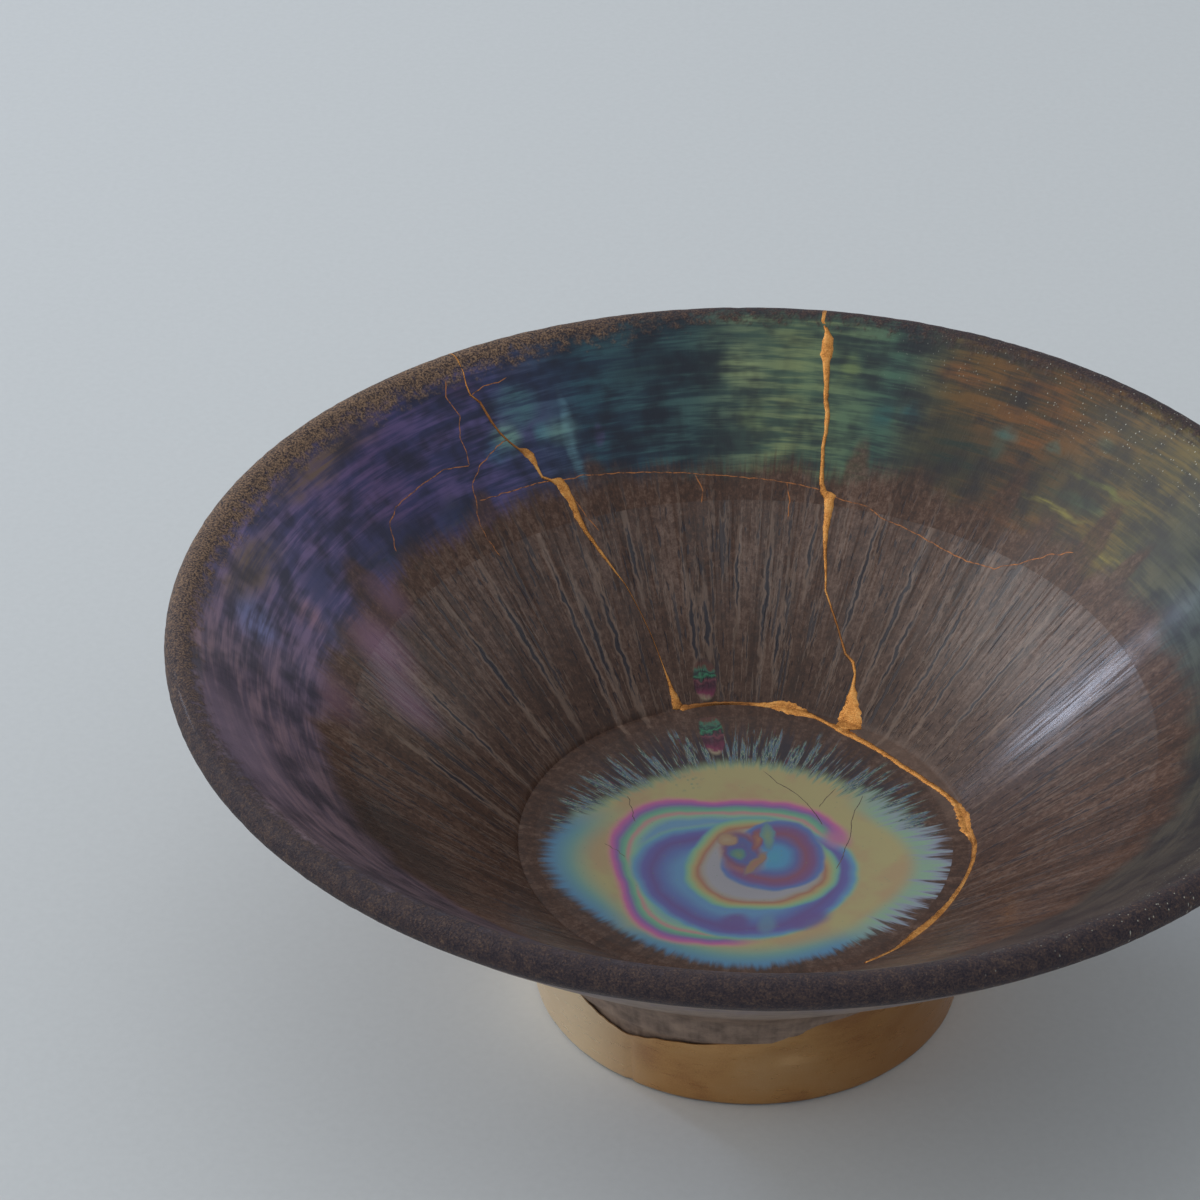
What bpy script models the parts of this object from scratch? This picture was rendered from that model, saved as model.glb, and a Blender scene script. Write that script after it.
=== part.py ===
"""Kintsugi bowl: a wide conical tea bowl on a tall foot, broken once and mended with gold lacquer.

Four solids: the main body, the one shard that broke out of its back wall, the
lacquer that fills the breaks, and the lacquer coat round the foot. Metres,
+Z up. The bowl stands on z = 0 with its rim centred on the Z axis, and the
side seen from the front faces -Y.
"""
import math

import bmesh
import bpy
from mathutils import Vector

# The outline of the bowl
RIM_RADIUS = 0.0750
BOWL_HEIGHT = 0.0590
LIP_THICKNESS = 0.0042
WALL_THICKNESS = 0.0046
WALL_BELLY = 0.0005
WELL_RADIUS = 0.0295
WELL_HEIGHT = 0.0217
WELL_DEPTH = 0.0028

# The foot ring and the hollow under it
FOOT_RADIUS = 0.0283
FOOT_FLARE = 0.0006
FOOT_EDGE = 0.0008
FOOT_WALL = 0.0062
COVE_DROP = 0.0040
COVE_REACH = 0.0060
RECESS_DEPTH = 0.0100
RECESS_TAPER = 0.0012
RECESS_FILLET = 0.0015

# How far the hand-thrown bowl leans sideways at its foot and at its well
FOOT_LEAN = -0.0008
WELL_LEAN = -0.0015

# The gold lacquer and the room it leaves to the ceramic
SEAM_WIDTH = 0.0009
FOOT_COAT = 0.0006
COAT_LIFT = 0.0003
CLEARANCE = 0.0003

# How finely the round forms are cut into facets
SEGMENTS = 72
FLOOR_STEPS = 5
WALL_STEPS = 6
LIP_STEPS = 2
COVE_STEPS = 4
EDGE_STEPS = 2
COAT_STEPS = 5
RING_STEP = 5.0

# Breaks across the wall: angle in degrees, share of the way from the well
# ring (0) to the lip (1), and width as a multiple of the seam's. The right
# one ends on the break along the well
LEFT_BREAK = (
    (126.6, 1.15, 1.0), (126.7, 0.94, 1.0), (126.0, 0.89, 1.0), (125.3, 0.81, 1.0),
    (123.6, 0.75, 1.3), (122.0, 0.72, 2.0), (121.8, 0.67, 1.2), (119.6, 0.64, 1.5),
    (118.5, 0.60, 1.9), (118.3, 0.55, 1.3), (117.8, 0.49, 1.0), (115.6, 0.41, 1.0),
    (113.3, 0.31, 1.0), (111.2, 0.20, 1.0), (109.8, 0.08, 1.6),
)
RIGHT_BREAK = (
    (83.9, 1.15, 1.0), (83.3, 0.98, 1.0), (82.8, 0.93, 2.2), (82.5, 0.87, 1.2),
    (82.0, 0.79, 1.0), (81.3, 0.69, 1.0), (80.7, 0.59, 1.0), (79.9, 0.55, 2.6),
    (78.9, 0.49, 1.7), (78.2, 0.41, 1.0), (76.8, 0.32, 1.0), (74.5, 0.27, 1.0),
    (71.1, 0.20, 1.0), (67.8, 0.15, 1.1), (65.0, 0.10, 1.5), (62.3, 0.03, 4.0),
)
RIGHT_END = 60.3
RIGHT_END_WIDTH = 2.4

# The break along the well: angle in degrees, how far it strays outward from
# the ring as a multiple of the seam's width, and its width as a multiple
RING_BREAK = (
    (108.3, 0.1, 1.4), (100.0, 0.1, 1.0), (93.0, 0.1, 1.0), (85.0, 0.0, 1.0),
    (78.0, 0.0, 1.9), (72.5, -0.7, 1.3), (67.0, -1.6, 1.0), (62.0, -2.2, 1.0),
    (55.7, -2.4, 1.1), (49.0, -2.7, 1.0), (39.0, -2.8, 1.0), (29.0, -2.0, 1.0),
    (20.3, -0.8, 1.0), (14.5, 0.0, 1.4), (10.0, 0.3, 2.4), (5.0, 0.3, 2.0),
    (-1.0, 0.6, 1.1), (-8.5, 0.6, 1.0), (-16.0, 0.2, 1.0), (-24.0, -0.1, 1.0),
    (-33.5, -0.4, 1.0), (-40.5, -0.6, 1.0), (-48.0, 0.0, 1.0), (-58.0, 0.0, 1.0),
)

# The ragged upper edge of the foot's coat: angle in degrees and share of the
# height where the foot's side would meet the wall
COAT_EDGE = (
    (-180.0, 0.93), (-160.0, 0.97), (-150.0, 0.90), (-143.0, 0.80), (-133.0, 0.70),
    (-126.0, 0.62), (-120.0, 0.59), (-112.0, 0.66), (-92.0, 0.75), (-77.0, 0.84),
    (-69.0, 0.96), (-58.0, 1.00), (-30.0, 0.97), (0.0, 0.88), (35.0, 0.74),
    (70.0, 0.83), (105.0, 0.70), (145.0, 0.84),
)


class Outline:
    """The bowl's turned outline, as radius and height, worked out once from the driving sizes."""

    def __init__(self):
        self.lip = LIP_THICKNESS / 2
        self.lip_centre = (RIM_RADIUS - self.lip, BOWL_HEIGHT - self.lip)
        reach, rise = self.to_lip(WELL_RADIUS, WELL_HEIGHT)
        far = math.hypot(reach, rise)
        self.slope = math.atan2(rise, reach) + math.asin(self.lip / far)
        self.inner_end = self.on_lip(self.slope + math.pi / 2)
        root_radius = WELL_RADIUS + WALL_THICKNESS * math.sin(self.slope)
        root_height = WELL_HEIGHT - WALL_THICKNESS * math.cos(self.slope)
        reach, rise = self.to_lip(root_radius, root_height)
        far = math.hypot(reach, rise)
        self.outer_slope = math.atan2(rise, reach) - math.asin(self.lip / far)
        self.outer_end = self.on_lip(self.outer_slope - math.pi / 2)
        self.side_radius = FOOT_RADIUS + FOOT_FLARE
        fall = (self.outer_end[0] - self.side_radius) * math.tan(self.outer_slope)
        self.corner_height = self.outer_end[1] - fall
        self.side_top = self.corner_height - COVE_DROP
        self.cove_end = (
            self.side_radius + COVE_REACH * math.cos(self.outer_slope),
            self.corner_height + COVE_REACH * math.sin(self.outer_slope),
        )

    def to_lip(self, radius, height):
        """How far the lip's centre lies out from and above a point."""
        return self.lip_centre[0] - radius, self.lip_centre[1] - height

    def on_lip(self, angle):
        """The point of the rounded lip in a given direction from its centre."""
        return (
            self.lip_centre[0] + self.lip * math.cos(angle),
            self.lip_centre[1] + self.lip * math.sin(angle),
        )

    def radius_at(self, share):
        """Radius at a share of the way up the inside wall."""
        return WELL_RADIUS + (self.inner_end[0] - WELL_RADIUS) * share

    def inner_height(self, radius):
        """Height of the inside surface, carried on in a straight line past the lip."""
        if radius <= WELL_RADIUS:
            return WELL_HEIGHT - WELL_DEPTH * (1 - (radius / WELL_RADIUS) ** 2)
        share = (radius - WELL_RADIUS) / (self.inner_end[0] - WELL_RADIUS)
        line = WELL_HEIGHT + (self.inner_end[1] - WELL_HEIGHT) * share
        return line - belly(min(share, 1.0))

    def side_radius_at(self, height):
        """Radius of the foot's outside and of the cove above it."""
        if height < FOOT_EDGE:
            drop = FOOT_EDGE - height
            return FOOT_RADIUS - FOOT_EDGE + math.sqrt(FOOT_EDGE ** 2 - drop ** 2)
        if height <= self.side_top:
            share = (height - FOOT_EDGE) / (self.side_top - FOOT_EDGE)
            return FOOT_RADIUS + FOOT_FLARE * share
        low = self.side_top - height
        bend = self.side_top - 2 * self.corner_height + self.cove_end[1]
        rise = 2 * COVE_DROP
        share = 2 * -low / (rise + math.sqrt(rise ** 2 - 4 * bend * low))
        return self.cove_point(share)[0]

    def cove_point(self, share):
        """A point of the cove between the foot's side (0) and the wall (1)."""
        start = Vector((self.side_radius, self.side_top))
        corner = Vector((self.side_radius, self.corner_height))
        end = Vector(self.cove_end)
        low = start.lerp(corner, share)
        high = corner.lerp(end, share)
        return tuple(low.lerp(high, share))

    def points(self):
        """The whole closed outline, from the axis inside over the lip to the axis below."""
        line = []
        for step in range(FLOOR_STEPS):
            radius = WELL_RADIUS * step / FLOOR_STEPS
            line.append((radius, self.inner_height(radius)))
        for step in range(WALL_STEPS):
            radius = self.radius_at(step / WALL_STEPS)
            line.append((radius, self.inner_height(radius)))
        turns = (self.slope + math.pi / 2, math.pi / 2, 0.0, self.outer_slope - math.pi / 2)
        for start, end in zip(turns, turns[1:]):
            for step in range(LIP_STEPS):
                line.append(self.on_lip(start + (end - start) * step / LIP_STEPS))
        line.append(self.outer_end)
        for step in range(1, WALL_STEPS):
            share = step / WALL_STEPS
            radius = self.outer_end[0] + (self.cove_end[0] - self.outer_end[0]) * share
            height = self.outer_end[1] + (self.cove_end[1] - self.outer_end[1]) * share
            line.append((radius, height - belly(share)))
        for step in range(COVE_STEPS + 1):
            line.append(self.cove_point(1 - step / COVE_STEPS))
        for step in range(EDGE_STEPS + 1):
            height = FOOT_EDGE * (1 - step / EDGE_STEPS) ** 2
            line.append((self.side_radius_at(height), height))
        recess = FOOT_RADIUS - FOOT_WALL
        line.append((recess, 0.0))
        line.append((recess - RECESS_TAPER, RECESS_DEPTH - RECESS_FILLET))
        line.append((recess - RECESS_TAPER - RECESS_FILLET, RECESS_DEPTH))
        line.append((0.0, RECESS_DEPTH))
        return line


def belly(share):
    """How far the wall sags below a straight line at a share of its length."""
    return WALL_BELLY * 4 * share * (1 - share)


OUTLINE = Outline()


def lean(height):
    """Sideways shift of the thrown clay at a height."""
    if height < WELL_HEIGHT:
        return FOOT_LEAN + (WELL_LEAN - FOOT_LEAN) * max(height, 0.0) / WELL_HEIGHT
    return WELL_LEAN * max(BOWL_HEIGHT - height, 0.0) / (BOWL_HEIGHT - WELL_HEIGHT)


def plain_material(name, colour, roughness, metallic):
    """A Principled material with one colour."""
    material = bpy.data.materials.new(name)
    material.use_nodes = True
    shader = material.node_tree.nodes["Principled BSDF"]
    shader.inputs["Base Color"].default_value = (*colour, 1.0)
    shader.inputs["Roughness"].default_value = roughness
    shader.inputs["Metallic"].default_value = metallic
    return material


def object_from(name, bm):
    """Closes a bmesh into an object, leaned as the bowl leans, with its faces pointing out."""
    for vert in bm.verts:
        vert.co.x += lean(vert.co.z)
    bmesh.ops.recalc_face_normals(bm, faces=bm.faces)
    mesh = bpy.data.meshes.new(name)
    bm.to_mesh(mesh)
    bm.free()
    item = bpy.data.objects.new(name, mesh)
    bpy.context.scene.collection.objects.link(item)
    return item


def turned_bowl():
    """The unbroken bowl, its outline spun round the axis."""
    bm = bmesh.new()
    verts = [bm.verts.new((radius, 0.0, height)) for radius, height in OUTLINE.points()]
    edges = [bm.edges.new(pair) for pair in zip(verts, verts[1:])]
    bmesh.ops.spin(
        bm, geom=verts + edges, cent=(0, 0, 0), axis=(0, 0, 1),
        angle=math.tau, steps=SEGMENTS, use_merge=True,
    )
    bmesh.ops.remove_doubles(bm, verts=bm.verts, dist=1e-6)
    return object_from("bowl", bm)


def wall_stations(stations):
    """A break across the wall as angle, radius and width."""
    return [
        (angle, OUTLINE.radius_at(share), width * SEAM_WIDTH)
        for angle, share, width in stations
    ]


def ring_station(angle):
    """The break along the well at an angle in degrees, as angle, radius and width."""
    for (angle_1, stray_1, width_1), (angle_2, stray_2, width_2) in zip(RING_BREAK, RING_BREAK[1:]):
        if angle_1 >= angle >= angle_2:
            part = (angle_1 - angle) / (angle_1 - angle_2)
            soft = part * part * (3 - 2 * part)
            stray = stray_1 + (stray_2 - stray_1) * soft
            width = width_1 + (width_2 - width_1) * soft
            return angle, WELL_RADIUS + stray * SEAM_WIDTH, width * SEAM_WIDTH
    raise ValueError("the break along the well doesn't reach this angle")


def ring_stations():
    """The break along the well, filled in between its stations in small steps."""
    angles = []
    for (angle_1, _, _), (angle_2, _, _) in zip(RING_BREAK, RING_BREAK[1:]):
        steps = max(1, round((angle_1 - angle_2) / RING_STEP))
        angles += [angle_1 + (angle_2 - angle_1) * step / steps for step in range(steps)]
    angles.append(RING_BREAK[-1][0])
    return [ring_station(angle) for angle in angles]


def side_steps(stations, index):
    """Unit step to one side of a break at a station: along the ring and up the wall."""
    before = stations[max(index - 1, 0)]
    after = stations[min(index + 1, len(stations) - 1)]
    along = math.radians(after[0] - before[0]) * stations[index][1]
    up = (after[1] - before[1]) / math.cos(OUTLINE.slope)
    length = math.hypot(along, up)
    return -up / length, along / length


def break_sheet(name, stations, room):
    """A thick sheet that follows a break and stands square to the wall, with room at its sides."""
    above = WALL_THICKNESS
    below = 2.6 * WALL_THICKNESS
    bm = bmesh.new()
    rings = []
    last = len(stations) - 1
    for index, (angle, radius, width) in enumerate(stations):
        across, up = side_steps(stations, index)
        onward = (0.0, 0.0)
        if index in (0, last):
            sign = -1 if index == 0 else 1
            onward = (sign * up * room, -sign * across * room)
        corners = []
        for side in (-1, 1):
            offset = side * (width / 2 + room)
            turn = (across * offset + onward[0]) / radius
            theta = math.radians(angle) + turn
            out = radius + (up * offset + onward[1]) * math.cos(OUTLINE.slope)
            for depth in (-above, below):
                reach = out + depth * math.sin(OUTLINE.slope)
                height = OUTLINE.inner_height(out) - depth * math.cos(OUTLINE.slope)
                corners.append(
                    bm.verts.new((reach * math.cos(theta), reach * math.sin(theta), height))
                )
        rings.append((corners[0], corners[1], corners[3], corners[2]))
    for ring, ring_2 in zip(rings, rings[1:]):
        for corner in range(4):
            follow = (corner + 1) % 4
            bm.faces.new((ring[corner], ring[follow], ring_2[follow], ring_2[corner]))
    bm.faces.new(rings[0])
    bm.faces.new(rings[-1])
    return object_from(name, bm)


def coat_top(angle):
    """Height of the coat's ragged edge at an angle in degrees."""
    angle = (angle + 180.0) % 360.0 - 180.0
    closed = COAT_EDGE + ((COAT_EDGE[0][0] + 360.0, COAT_EDGE[0][1]),)
    for (angle_1, share_1), (angle_2, share_2) in zip(closed, closed[1:]):
        if angle_1 <= angle <= angle_2:
            part = (angle - angle_1) / (angle_2 - angle_1)
            soft = part * part * (3 - 2 * part)
            return (share_1 + (share_2 - share_1) * soft) * OUTLINE.corner_height
    return COAT_EDGE[0][1] * OUTLINE.corner_height


def foot_band(name, foot, inside, outside, raised):
    """A band round the foot's outside, from a height up to the ragged edge."""
    bm = bmesh.new()
    rings = []
    for segment in range(SEGMENTS):
        angle = 360.0 * segment / SEGMENTS
        turn = math.radians(angle)
        top = coat_top(angle) + raised
        heights = [foot + (top - foot) * step / COAT_STEPS for step in range(COAT_STEPS + 1)]
        sides = [OUTLINE.side_radius_at(max(height, 0.0)) for height in heights]
        outer = [(side + outside, height) for side, height in zip(sides, heights)]
        inner = [(side - inside, height) for side, height in zip(sides, heights)]
        ring = [
            bm.verts.new((radius * math.cos(turn), radius * math.sin(turn), height))
            for radius, height in outer + inner[::-1]
        ]
        rings.append(ring)
    for ring, ring_2 in zip(rings, rings[1:] + rings[:1]):
        for corner in range(len(ring)):
            follow = (corner + 1) % len(ring)
            bm.faces.new((ring[corner], ring[follow], ring_2[follow], ring_2[corner]))
    return object_from(name, bm)


def combine(item, tool, operation):
    """Adds a Boolean with a hidden tool to an object."""
    tool.hide_render = True
    tool.display_type = "WIRE"
    change = item.modifiers.new(operation.title(), "BOOLEAN")
    change.operation = operation
    change.solver = "EXACT"
    change.object = tool


def settled_mesh(item, name):
    """The mesh of an object with its modifiers applied, under a new name."""
    bpy.context.view_layer.update()
    graph = bpy.context.evaluated_depsgraph_get()
    mesh = bpy.data.meshes.new_from_object(item.evaluated_get(graph))
    mesh.name = name
    return mesh


def loose_bodies(mesh):
    """The separate closed bodies in a mesh, largest first, each as its own bmesh."""
    source = bmesh.new()
    source.from_mesh(mesh)
    waiting = set(source.verts)
    bodies = []
    while waiting:
        front = [waiting.pop()]
        found = set(front)
        while front:
            for edge in front.pop().link_edges:
                for vert in edge.verts:
                    if vert not in found:
                        found.add(vert)
                        front.append(vert)
        waiting -= found
        indexes = {vert.index for vert in found}
        body = source.copy()
        body.verts.ensure_lookup_table()
        others = [vert for vert in body.verts if vert.index not in indexes]
        bmesh.ops.delete(body, geom=others, context="VERTS")
        bodies.append(body)
    source.free()
    bodies.sort(key=lambda body: -body.calc_volume())
    return bodies


def finished(name, mesh, material):
    """A finished solid: one closed mesh, smooth where it is round, with its own material."""
    mesh.name = name
    mesh.materials.clear()
    mesh.materials.append(material)
    mesh.shade_smooth()
    mesh.set_sharp_from_angle(angle=math.radians(32))
    item = bpy.data.objects.new(name, mesh)
    bpy.context.scene.collection.objects.link(item)
    return item


def ceramic_pieces(bowl, breaks, rebate):
    """The main body and the shard, parted by the breaks, with a rebate for the foot's coat."""
    for tool in breaks + [rebate]:
        combine(bowl, tool, "DIFFERENCE")
    bodies = loose_bodies(settled_mesh(bowl, "ceramic"))
    bowl.modifiers.clear()
    clay = plain_material("brown_glaze", (0.16, 0.11, 0.09), 0.38, 0.0)
    shard_clay = plain_material("shard_glaze", (0.13, 0.14, 0.15), 0.38, 0.0)
    for name, body, material in zip(("main_body", "back_shard"), bodies, (clay, shard_clay)):
        mesh = bpy.data.meshes.new(name)
        body.to_mesh(mesh)
        finished(name, mesh, material)
    for body in bodies:
        body.free()


def gold_seam(bowl, fills):
    """The lacquer in the breaks, one piece where they meet, cut to the bowl's own surfaces."""
    first, second = fills
    combine(first, second, "UNION")
    combine(bowl, first, "INTERSECT")
    mesh = settled_mesh(bowl, "gold_seam")
    bowl.modifiers.clear()
    finished("gold_seam", mesh, plain_material("seam_gold", (0.62, 0.38, 0.15), 0.36, 1.0))


def gold_foot():
    """The lacquer coat round the foot, a little above what the bowl stands on."""
    band = foot_band("coat", COAT_LIFT, FOOT_COAT, 0.0, 0.0)
    mesh = band.data.copy()
    bpy.data.objects.remove(band)
    finished("gold_foot", mesh, plain_material("foot_gold", (0.55, 0.36, 0.17), 0.42, 1.0))


def main():
    """Clears the scene and builds the bowl."""
    for item in list(bpy.data.objects):
        bpy.data.objects.remove(item)
    left_and_ring = wall_stations(LEFT_BREAK) + ring_stations()
    angle, radius, width = ring_station(RIGHT_END)
    right = wall_stations(RIGHT_BREAK) + [(angle, radius, width * RIGHT_END_WIDTH)]
    bowl = turned_bowl()
    breaks = [
        break_sheet("left_cut", left_and_ring, CLEARANCE),
        break_sheet("right_cut", right, CLEARANCE),
    ]
    rebate = foot_band("rebate", -FOOT_EDGE, FOOT_COAT + CLEARANCE, FOOT_EDGE, CLEARANCE)
    fills = [
        break_sheet("left_fill", left_and_ring, 0.0),
        break_sheet("right_fill", right, 0.0),
    ]
    ceramic_pieces(bowl, breaks, rebate)
    gold_seam(bowl, fills)
    gold_foot()
    for tool in breaks + fills + [rebate, bowl]:
        bpy.data.objects.remove(tool)


main()
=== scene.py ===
"""Dresses the kintsugi bowl: lustre glaze, gold mends, hairline cracks and the gilded foot.

Run it as a script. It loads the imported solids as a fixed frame, builds every
visible piece around them and sets up a plain studio. Lengths are metres in the
shapes and millimetres in the glaze recipes, +Z is up and -Y is the front.
"""
import bisect
import math

import bmesh
import bpy
from bpy.props import FloatProperty, FloatVectorProperty, IntProperty, PointerProperty
from mathutils import Matrix, Vector, noise


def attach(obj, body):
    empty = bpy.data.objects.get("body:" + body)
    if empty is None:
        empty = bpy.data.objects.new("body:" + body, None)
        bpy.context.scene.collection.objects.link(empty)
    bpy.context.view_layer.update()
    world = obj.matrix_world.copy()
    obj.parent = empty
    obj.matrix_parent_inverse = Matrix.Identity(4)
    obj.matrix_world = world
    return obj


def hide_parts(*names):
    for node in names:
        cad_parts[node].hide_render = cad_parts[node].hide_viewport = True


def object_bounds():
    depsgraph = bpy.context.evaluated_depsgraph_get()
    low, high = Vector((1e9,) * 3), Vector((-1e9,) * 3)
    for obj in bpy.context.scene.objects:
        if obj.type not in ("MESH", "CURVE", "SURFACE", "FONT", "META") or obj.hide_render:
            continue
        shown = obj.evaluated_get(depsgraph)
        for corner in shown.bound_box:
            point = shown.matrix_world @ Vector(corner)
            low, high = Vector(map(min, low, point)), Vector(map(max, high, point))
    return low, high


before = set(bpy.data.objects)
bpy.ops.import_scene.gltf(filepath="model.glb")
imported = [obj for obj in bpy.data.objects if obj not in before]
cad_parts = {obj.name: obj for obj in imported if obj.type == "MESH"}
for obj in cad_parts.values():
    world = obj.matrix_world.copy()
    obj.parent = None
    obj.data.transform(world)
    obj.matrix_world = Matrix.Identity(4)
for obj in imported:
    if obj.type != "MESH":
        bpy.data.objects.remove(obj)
cad_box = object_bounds()

bl_info = {
    "name": "Kintsugi Bowl Finish",
    "version": (1, 0, 0),
    "blender": (4, 5, 0),
    "location": "3D View > Sidebar > Kintsugi",
    "description": "Builds the glazed, gold-mended surface of a kintsugi tea bowl",
    "category": "Object",
}

MM = 0.001
BODY = "root"

# The breaks: angle in degrees, radius in millimetres on the inside, and how far the
# gold spreads to the left and to the right of the break, in millimetres. They run
# from the well ring up to the lip
LEFT_BREAK = (
    (108.6, 29.5, 0.9, 0.9), (109.1, 30.6, 0.6, 0.7), (109.5, 32.1, 0.25, 0.3),
    (110.2, 34.4, 0.09, 0.09), (111.2, 37.7, 0.07, 0.07), (112.4, 40.7, 0.07, 0.07),
    (113.8, 43.8, 0.08, 0.08), (115.0, 45.4, 0.13, 0.13), (116.8, 48.2, 0.25, 0.3),
    (117.9, 50.4, 0.4, 0.3), (118.4, 52.2, 0.55, 0.4), (118.5, 54.1, 0.8, 0.4),
    (119.0, 55.6, 1.0, 0.55), (119.4, 56.4, 1.1, 0.5), (120.6, 56.7, 0.3, 0.25),
    (121.7, 57.3, 0.2, 0.2), (122.0, 58.6, 0.3, 0.3), (122.1, 59.8, 0.8, 0.6),
    (122.6, 60.5, 0.8, 0.4), (123.5, 60.9, 0.2, 0.18), (124.3, 61.8, 0.16, 0.16),
    (125.1, 63.1, 0.16, 0.16), (125.6, 64.6, 0.2, 0.2), (126.0, 66.8, 0.2, 0.2),
    (126.8, 67.9, 0.14, 0.14), (126.8, 69.0, 0.1, 0.12), (126.5, 70.4, 0.08, 0.08),
    (126.5, 71.4, 0.06, 0.06),
)
RIGHT_BREAK = (
    (60.6, 28.2, 2.1, 2.2), (61.5, 29.3, 2.1, 1.6), (62.4, 30.4, 1.6, 1.5),
    (63.8, 31.8, 0.75, 1.0), (64.8, 33.3, 0.25, 0.35), (65.4, 34.6, 0.2, 0.2),
    (66.8, 35.7, 0.25, 0.25), (69.1, 36.4, 0.2, 0.2), (71.1, 37.9, 0.15, 0.15),
    (74.5, 40.7, 0.15, 0.15), (76.6, 42.6, 0.14, 0.16), (77.3, 44.6, 0.2, 0.2),
    (78.3, 46.9, 0.25, 0.3), (78.8, 49.2, 0.5, 0.45), (79.0, 51.2, 0.7, 0.6),
    (79.2, 52.6, 0.8, 1.0), (80.3, 53.1, 0.45, 0.5), (80.8, 54.0, 0.35, 0.35),
    (81.2, 56.1, 0.28, 0.3), (81.5, 58.0, 0.3, 0.28), (81.4, 59.6, 0.3, 0.3),
    (81.6, 61.5, 0.36, 0.34), (82.1, 63.0, 0.4, 0.36), (82.5, 65.6, 0.45, 0.45),
    (82.7, 66.9, 0.6, 0.5), (82.8, 68.3, 1.1, 0.8), (82.9, 69.6, 1.0, 0.7),
    (83.2, 70.4, 0.35, 0.3), (83.8, 71.4, 0.22, 0.22),
)
# The break along the well, clockwise: angle, radius, and spread inwards and outwards
RING_BREAK = (
    (108.3, 29.5, 0.5, 0.5), (104.0, 29.6, 0.3, 0.35), (98.0, 29.65, 0.2, 0.3),
    (93.6, 29.6, 0.22, 0.28), (88.0, 29.5, 0.25, 0.3), (84.0, 29.5, 0.45, 0.5),
    (81.3, 29.5, 0.9, 1.0), (77.5, 29.4, 1.2, 0.9), (74.0, 29.1, 0.8, 0.5),
    (71.0, 28.7, 0.35, 0.3), (67.0, 28.1, 0.3, 0.35), (62.0, 27.5, 0.4, 0.9),
    (57.0, 27.3, 0.45, 0.5), (49.0, 27.1, 0.42, 0.35), (39.0, 27.0, 0.4, 0.38),
    (28.9, 27.7, 0.4, 0.4), (20.3, 28.8, 0.38, 0.42), (16.0, 29.3, 0.6, 0.45),
    (11.0, 29.5, 1.05, 0.85), (6.0, 29.4, 0.95, 0.8), (3.0, 29.7, 0.5, 0.5),
    (-0.9, 30.1, 0.45, 0.45), (-8.5, 30.1, 0.45, 0.42), (-16.1, 29.7, 0.42, 0.42),
    (-24.0, 29.4, 0.42, 0.45), (-33.4, 29.1, 0.5, 0.6), (-40.4, 29.0, 0.55, 0.6),
    (-48.1, 29.6, 0.45, 0.45), (-58.0, 29.5, 0.25, 0.25),
)
# Hairlines and the net of crazing, as angle and radius
GOLD_HAIRLINES = (
    ((132.0, 57.2), (129.0, 57.0), (125.5, 56.9), (122.3, 56.8), (118.9, 56.4), (115.7, 56.3),
     (113.8, 56.1), (106.0, 55.4), (97.9, 54.6), (90.7, 54.1), (85.5, 53.8), (80.9, 53.3)),
    ((80.0, 53.2), (77.8, 52.6), (73.3, 52.3), (70.7, 51.4), (65.5, 50.8), (59.6, 50.0),
     (54.8, 49.7), (49.8, 50.1), (46.7, 51.7), (43.0, 54.0), (40.0, 55.5)),
    ((131.8, 59.1), (132.9, 56.9), (133.8, 55.0), (133.8, 53.2), (133.3, 51.1)),
    ((131.8, 59.1), (129.0, 60.8), (126.3, 61.9), (124.5, 62.1)),
    ((126.6, 67.8), (124.6, 68.3), (122.8, 68.2), (121.6, 68.5)),
    ((131.0, 61.0), (130.4, 64.0), (129.3, 66.3), (129.8, 68.6), (128.9, 70.2)),
    ((148.5, 57.0), (146.8, 59.5), (144.0, 60.8), (139.0, 61.3), (134.5, 61.7), (131.0, 61.0)),
    ((99.5, 54.7), (98.4, 52.9), (98.9, 51.6)),
    ((86.0, 53.8), (85.1, 51.7), (85.3, 49.8)),
    ((118.4, 54.6), (117.1, 52.1), (115.9, 50.2)),
)
GOLD_HAIRLINE_WIDTH = 0.17
DARK_HAIRLINES = (
    ((82.4, 17.1), (74.0, 15.2), (62.3, 14.2), (45.0, 12.7), (30.5, 11.9)),
    ((36.4, 19.5), (31.0, 17.0), (24.6, 15.5), (12.0, 14.2), (4.6, 13.3), (-15.4, 12.5)),
    ((48.0, 18.1), (46.8, 15.6), (44.6, 13.8)),
    ((146.7, 18.8), (154.0, 16.6), (160.5, 15.4)),
    ((179.9, 18.4), (-176.0, 16.6), (-171.1, 15.7)),
)
DARK_HAIRLINE_WIDTH = 0.13

# The foot coat's ragged upper edge: angle, and height in millimetres
COAT_EDGE = (
    (-180.0, 13.7), (-160.0, 14.2), (-150.0, 13.0), (-143.0, 11.4), (-137.0, 10.9),
    (-133.0, 10.1), (-129.0, 9.4), (-126.0, 8.9), (-120.6, 8.4), (-116.0, 8.9),
    (-112.0, 9.5), (-104.0, 10.0), (-92.5, 10.8), (-84.0, 11.3), (-77.5, 12.2),
    (-70.0, 13.8), (-64.0, 14.1), (-58.6, 14.4), (-30.0, 14.2), (0.0, 12.9),
    (35.0, 10.9), (70.0, 12.2), (105.0, 10.4), (145.0, 12.3),
)

# How far the clay is cut back under the foot's coat, in metres. In millimetres, how far
# below the coat's edge that starts, and over what height above it throwing marks come in
REBATE = 0.0005
COAT_LAP = 1.6
MARKS_FADE = 1.5

# Between these angles, in degrees, gold fills most of the groove round the well
GOLD_IN_GROOVE = (-58.0, 112.0)


def paint(red, green, blue):
    """A colour as seen, from 0 to 255 each, turned into the light it reflects."""
    shares = (red / 255, green / 255, blue / 255)
    return tuple(s / 12.92 if s <= 0.04045 else ((s + 0.055) / 1.055) ** 2.4 for s in shares)


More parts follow.
